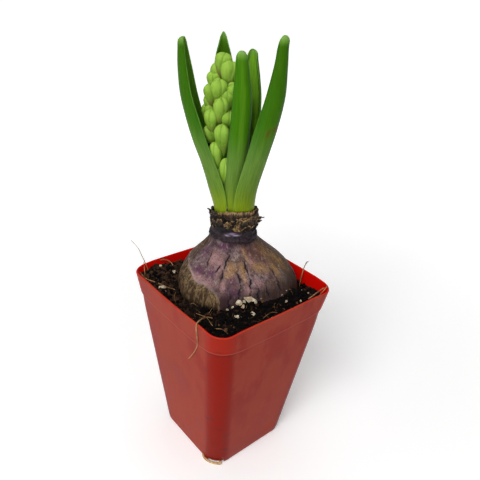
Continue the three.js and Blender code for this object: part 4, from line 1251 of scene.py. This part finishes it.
# The flower spike.
# A fleshy scape clothed in closed buds, each of them petals folded over one another and drawn
# in to its foot. The buds that face front are placed one by one, and the others by a spiral
# that turns a golden angle from bud to bud, where there is room for them.
SCAPE = [
    # height, sideways, frontwards, radius of the scape, how far its buds' tips stand out
    (SHOOT_FOOT, -1.1, -5, 4.6, 0), (136, -2, -5, 4.6, 0), (150, -4.2, -5, 4.4, 5.6),
    (170, -7.3, -5, 4, 8), (186, -9, -5, 3.6, 8.4), (198, -9.4, -5, 2.8, 6),
    (204, -9.3, -5, 2, 3.6), (209, -9.2, -5, 1, 1.2),
]
SCAPE_TOP = 206
SCAPE_RINGS = 60
SCAPE_SIDES = 32
FRONT_BUDS = [
    # where its tip is and where its foot is: sideways, frontwards, height; width, roll
    ((-8.9, -3.5, 207.6), (-11.0, -2.5, 196.8), 7.6, 20), ((-5.9, -0.6, 204.9), (-8.4, -0.6, 192.8), 8.3, 75),
    ((-12.6, -5.6, 203.2), (-11.6, -4.6, 192), 6.6, 90), ((-13.6, -4.6, 200), (-12.2, -4, 189.4), 6.8, 10),
    ((-15, -4.2, 194.8), (-13.8, -3.6, 183.4), 6.9, 50), ((-15.4, -5.6, 190.4), (-13.4, -5.2, 179), 6.4, 35),
    ((-10.7, 2.5, 197.7), (-11.3, -0.8, 185.8), 7.3, 40), ((-6.5, 1.4, 194.6), (-7.4, -1, 182.6), 7.2, 0),
    ((-9.7, 3.4, 190.4), (-9.8, -0.6, 176.6), 7, 60), ((-14, 0.2, 184.3), (-13.1, -2.4, 171.6), 6.4, 30),
    ((-5.8, 2.2, 184.6), (-7, -1, 174.6), 6.4, 15), ((-15.8, -5, 186), (-13.8, -5, 174.4), 6.6, 80),
    ((-15.4, -2.8, 176.8), (-11.8, -3.8, 165.4), 6.2, 0), ((-8.7, 3.6, 178.8), (-7.6, -0.6, 162.6), 7.2, 30),
    ((-11.7, 0.8, 169.9), (-9.3, -2.6, 152.6), 5.8, 45), ((-5.9, 2.4, 163.3), (-6, -1.8, 143.6), 6.2, 10),
    ((-10.2, -0.4, 157), (-7.2, -2.6, 143), 5.4, 70), ((-4.4, 2.2, 196.4), (-6.2, -1.6, 186), 6.4, 55),
    ((-3.4, 1.2, 176), (-4.6, -1.6, 163), 6.2, 20),
]
SPIRAL_PLACES = 60
GOLDEN_ANGLE = 137.508
# How near to each other the middles of two buds may be, in front and behind.
FRONT_GAP, BACK_GAP = 6.4, 5.6
BUD_WIDTH = 7.2
BUD_RINGS = 24
BUD_SIDES = 42
BUD_PROFILE = [
    # share of the length, share of the width
    (0, 0.18), (0.12, 0.32), (0.28, 0.54), (0.45, 0.77), (0.62, 0.95), (0.76, 1), (0.87, 0.89),
    (0.945, 0.66), (0.985, 0.4), (1, 0.14),
]


def scape_at(height):
    """The scape's middle and radius and its buds' reach at a height."""
    place = np.interp(height, [row[0] for row in SCAPE], range(len(SCAPE)))
    return blend(SCAPE, place)[0][1:]


def bud_shape():
    """One bud, a unit long and wide. Its three outer petals overlap at seams, each with one
    edge over the next, and their tips stand up as blunt lobes."""
    share, width = blend(BUD_PROFILE, np.linspace(0, len(BUD_PROFILE) - 1, BUD_RINGS)).T[:, :, None]
    turn = around(BUD_SIDES)[None, :]
    place = (turn + 60) % 120 - 60
    parted = step(share, 0.3, 0.7)
    seam = np.exp(-((place / 6) ** 2)) * parted
    lap = np.where(place > 0, np.exp(-place / 20), 0) * parted
    lobe = np.cos(np.radians(3 * turn + 180))
    swell = 1 + 0.07 * lobe * (1 + step(share, 0.7, 1)) + 0.1 * lap - 0.07 * seam
    c, s = circle(turn)
    rise = share + 0.022 * lobe * step(share, 0.85, 0.98)
    piece = skin("bud", np.stack([width / 2 * swell * c, width / 2 * swell * s, rise], -1) / MM)
    mark(piece, up=share + 0 * turn, seam=seam)
    return piece


def bud_spots():
    """The foot and tip of every bud, with its width and roll."""
    spots = [(at(*foot), at(*tip), width, roll) for tip, foot, width, roll in FRONT_BUDS]
    middles = [0.35 * foot + 0.65 * tip for foot, tip, _, _ in spots]
    for i in range(SPIRAL_PLACES):
        up = i / (SPIRAL_PLACES - 1)
        height, length = 146 + 56 * up**0.9, 13.5 - 2.5 * up**3
        turn = (60 + GOLDEN_ANGLE * i) % 360
        low, high = height - 0.6 * length, height + 0.4 * length
        side, front, _, reach = scape_at(low)
        foot = polar((side, front), 0.3 * reach, turn, low)
        side, front, _, reach = scape_at(high)
        tip = polar((side, front), max(0.5, reach - 1.4), turn, high)
        middle = 0.35 * foot + 0.65 * tip
        facing = tip @ at(0, 1, 0) - front
        near = min(np.linalg.norm(middle - m) for m in middles)
        if near > (FRONT_GAP if facing > 0.5 else BACK_GAP):
            middles.append(middle)
            spots.append((foot, tip, BUD_WIDTH, 37 * i))
    return spots


def bud_tree():
    """A shape set on every point, turned and sized by the point's own attributes."""
    tree = Growth("buds", Shape="Object")
    feet, shape, _ = tree.given.values()
    shape = tree.build("ObjectInfo", "Geometry", Object=shape)
    turn, size = (
        tree.node("GeometryNodeInputNamedAttribute", {"data_type": "FLOAT_VECTOR"}, {"Name": name})
        for name in ("turn", "size")
    )
    placed = tree.build("InstanceOnPoints", Points=feet, Instance=shape, Rotation=turn, Scale=size)
    return tree.done(tree.toned(placed))


def bud_finish():
    plain = {"Specular_IOR_Level": 0.15, "IOR": 1.3, "Subsurface_Weight": 0.15}
    plain |= {"Subsurface_Radius": (0.6, 1.0, 0.2), "Subsurface_Scale": 0.0012}
    finish = Finish("flower bud", (92, 130, 30), **plain)
    up, seam, tone = (finish.drawn(name) for name in ("up", "seam", "tone"))
    cloud, streak = finish.noise(4, 3, 0.55), finish.noise(0.8, 3, 0.6, (1, 1, 0.18))
    finish.coat(tone, 118, 152, 48)
    finish.coat(streak.between(0.4, 0.62) * 0.4, 132, 164, 70)
    finish.coat(up.between(0.6, 0.98) * 0.6, 146, 182, 72)
    # Painted shade darkens each bud towards its foot, where the buds crowd together; the brown patches there
    # are its own colour.
    finish.coat(up.between(0.55, 0.1) * 0.8, 66, 94, 26)
    finish.coat(up.between(0.55, 0.1) * cloud.between(0.42, 0.6) * 0.8, 112, 84, 52)
    finish.coat(seam * 0.5, 64, 104, 18)
    return finish.done(0.5 - streak * 0.12, streak * 0.6 + cloud * 0.4, 0.12)


spots = bud_spots()
feet = bpy.data.meshes.new("flower_buds")
feet.from_pydata([list(foot * MM) for foot, _, _, _ in spots], [], [])
buds = added("flower_buds", feet)
turns, sizes = [], []
for foot, tip, width, roll in spots:
    axis = Vector(tip - foot)
    stand = axis.to_track_quat("Z", "Y").to_matrix() @ Matrix.Rotation(math.radians(roll), 3, "Z")
    turns.append(tuple(stand.to_euler()))
    sizes.append((width * MM, width * MM, axis.length * MM))
mark(buds, turn=turns, size=sizes)
bud, bud_skin = bud_shape(), bud_finish()
grow(buds, bud_tree(), Shape=bud, Material=bud_skin)
bpy.data.objects.remove(bud)
dress(buds, bud_skin, "flower_spike")

scape_rings = []
for height in np.linspace(SHOOT_FOOT, SCAPE_TOP, SCAPE_RINGS):
    side, front, radius, _ = scape_at(height)
    scape_rings.append(polar((side, front), radius, around(SCAPE_SIDES), height))
scape = skin("flower_scape", scape_rings)
mark(scape, up=0.3, tone=0.2)
dress(scape, bud_skin, "flower_spike")

# The studio.
# A pale floor that runs out of sight, soft lights on both sides and above, and a camera that
# looks down past the pot's front corner.
CAMERA_PLACE = (0.1658, -0.1445, 0.2328)
CAMERA_TURN = 48.23
CAMERA_RISE = 26.89
CAMERA_ROLL = 4.1
CAMERA_LENS = 37.27
ROOM_LIGHT = 0.26
# Rings of the round floor and of the wall far out on it: radius, height.
STUDIO = {
    "floor": [(60e3, -1), (60e3, 0)],
    "backdrop": [(52e3, -5), (52e3, 5e3), (52.2e3, 5e3), (52.2e3, -5)],
}
STUDIO_SIDES = 64

paper = Finish("studio floor", (246, 246, 246), Specular_IOR_Level=0.05, Emission_Strength=1.0)
shade = paper.noise(900, 1)
paper.coat(shade, 250, 250, 250)
# The sheet glows a little, and more the further it is from the pot's own light.
away = vectors(paper, "LENGTH", [paper.place()], "Value")
glow = paper.mix(away.between(60, 700), (0.2, 0.2, 0.2, 1), (0.78, 0.78, 0.78, 1))
paper.done(0.85 + shade * 0.1, glow=glow)
turn = around(STUDIO_SIDES)
for name, rings in STUDIO.items():
    sheet = skin(name, [polar((0, 0), radius, turn, height) for radius, height in rings])
    sheet.data.materials.append(paper.material)
    sheet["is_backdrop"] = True

world = bpy.data.worlds.new("studio")
bpy.context.scene.world = world
world.use_nodes = True
sky = Tree(world.node_tree)
background = sky.tree.nodes["Background"]
background.inputs["Color"].default_value = (1, 1, 1, 1)
# The room lights the plant softly, and is white where the picture shows it past the floor.
seen = sky.node("ShaderNodeLightPath", {}, {}, "Is Camera Ray")
strength = seen * (1 - ROOM_LIGHT) + ROOM_LIGHT
sky.tree.links.new(strength.socket, background.inputs["Strength"])


def softbox(name, place, aim, size, power):
    """A square light that looks from one point to another, both in metres."""
    light = bpy.data.lights.new(name, "AREA")
    light.shape = "SQUARE"
    light.size = size
    light.energy = power
    lamp = added(name, light)
    lamp.location = place
    lamp.rotation_euler = (Vector(aim) - Vector(place)).to_track_quat("-Z", "Y").to_euler()


softbox("key", (0.24, -0.6, 0.75), (0, 0, 0.12), 0.45, 6.8)
softbox("fill", (0.75, 0.1, 0.45), (0, 0, 0.1), 0.5, 0.1)
softbox("overhead", (-0.1, 0.1, 0.9), (0, 0, 0.12), 0.5, 1.2)

turn, rise, roll = (math.radians(v) for v in (CAMERA_TURN, CAMERA_RISE, CAMERA_ROLL))
back = Vector((math.sin(turn) * math.cos(rise), -math.cos(turn) * math.cos(rise), math.sin(rise)))
level = Vector((math.cos(turn), math.sin(turn), 0))
upright = back.cross(level)
right = level * math.cos(roll) + upright * math.sin(roll)
up = upright * math.cos(roll) - level * math.sin(roll)
camera = added("camera", bpy.data.cameras.new("camera"))
camera.data.lens = CAMERA_LENS
camera.data.sensor_width = 36
camera.data.clip_start = 0.01
camera.matrix_world = Matrix((right, up, back)).transposed().to_4x4()
camera.location = CAMERA_PLACE
bpy.context.scene.camera = camera
bpy.context.scene.view_settings.view_transform = "Standard"

sizes = {
    "cad": [list(corner) for corner in cad_box],
    "visual": [list(corner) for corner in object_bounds()],
}
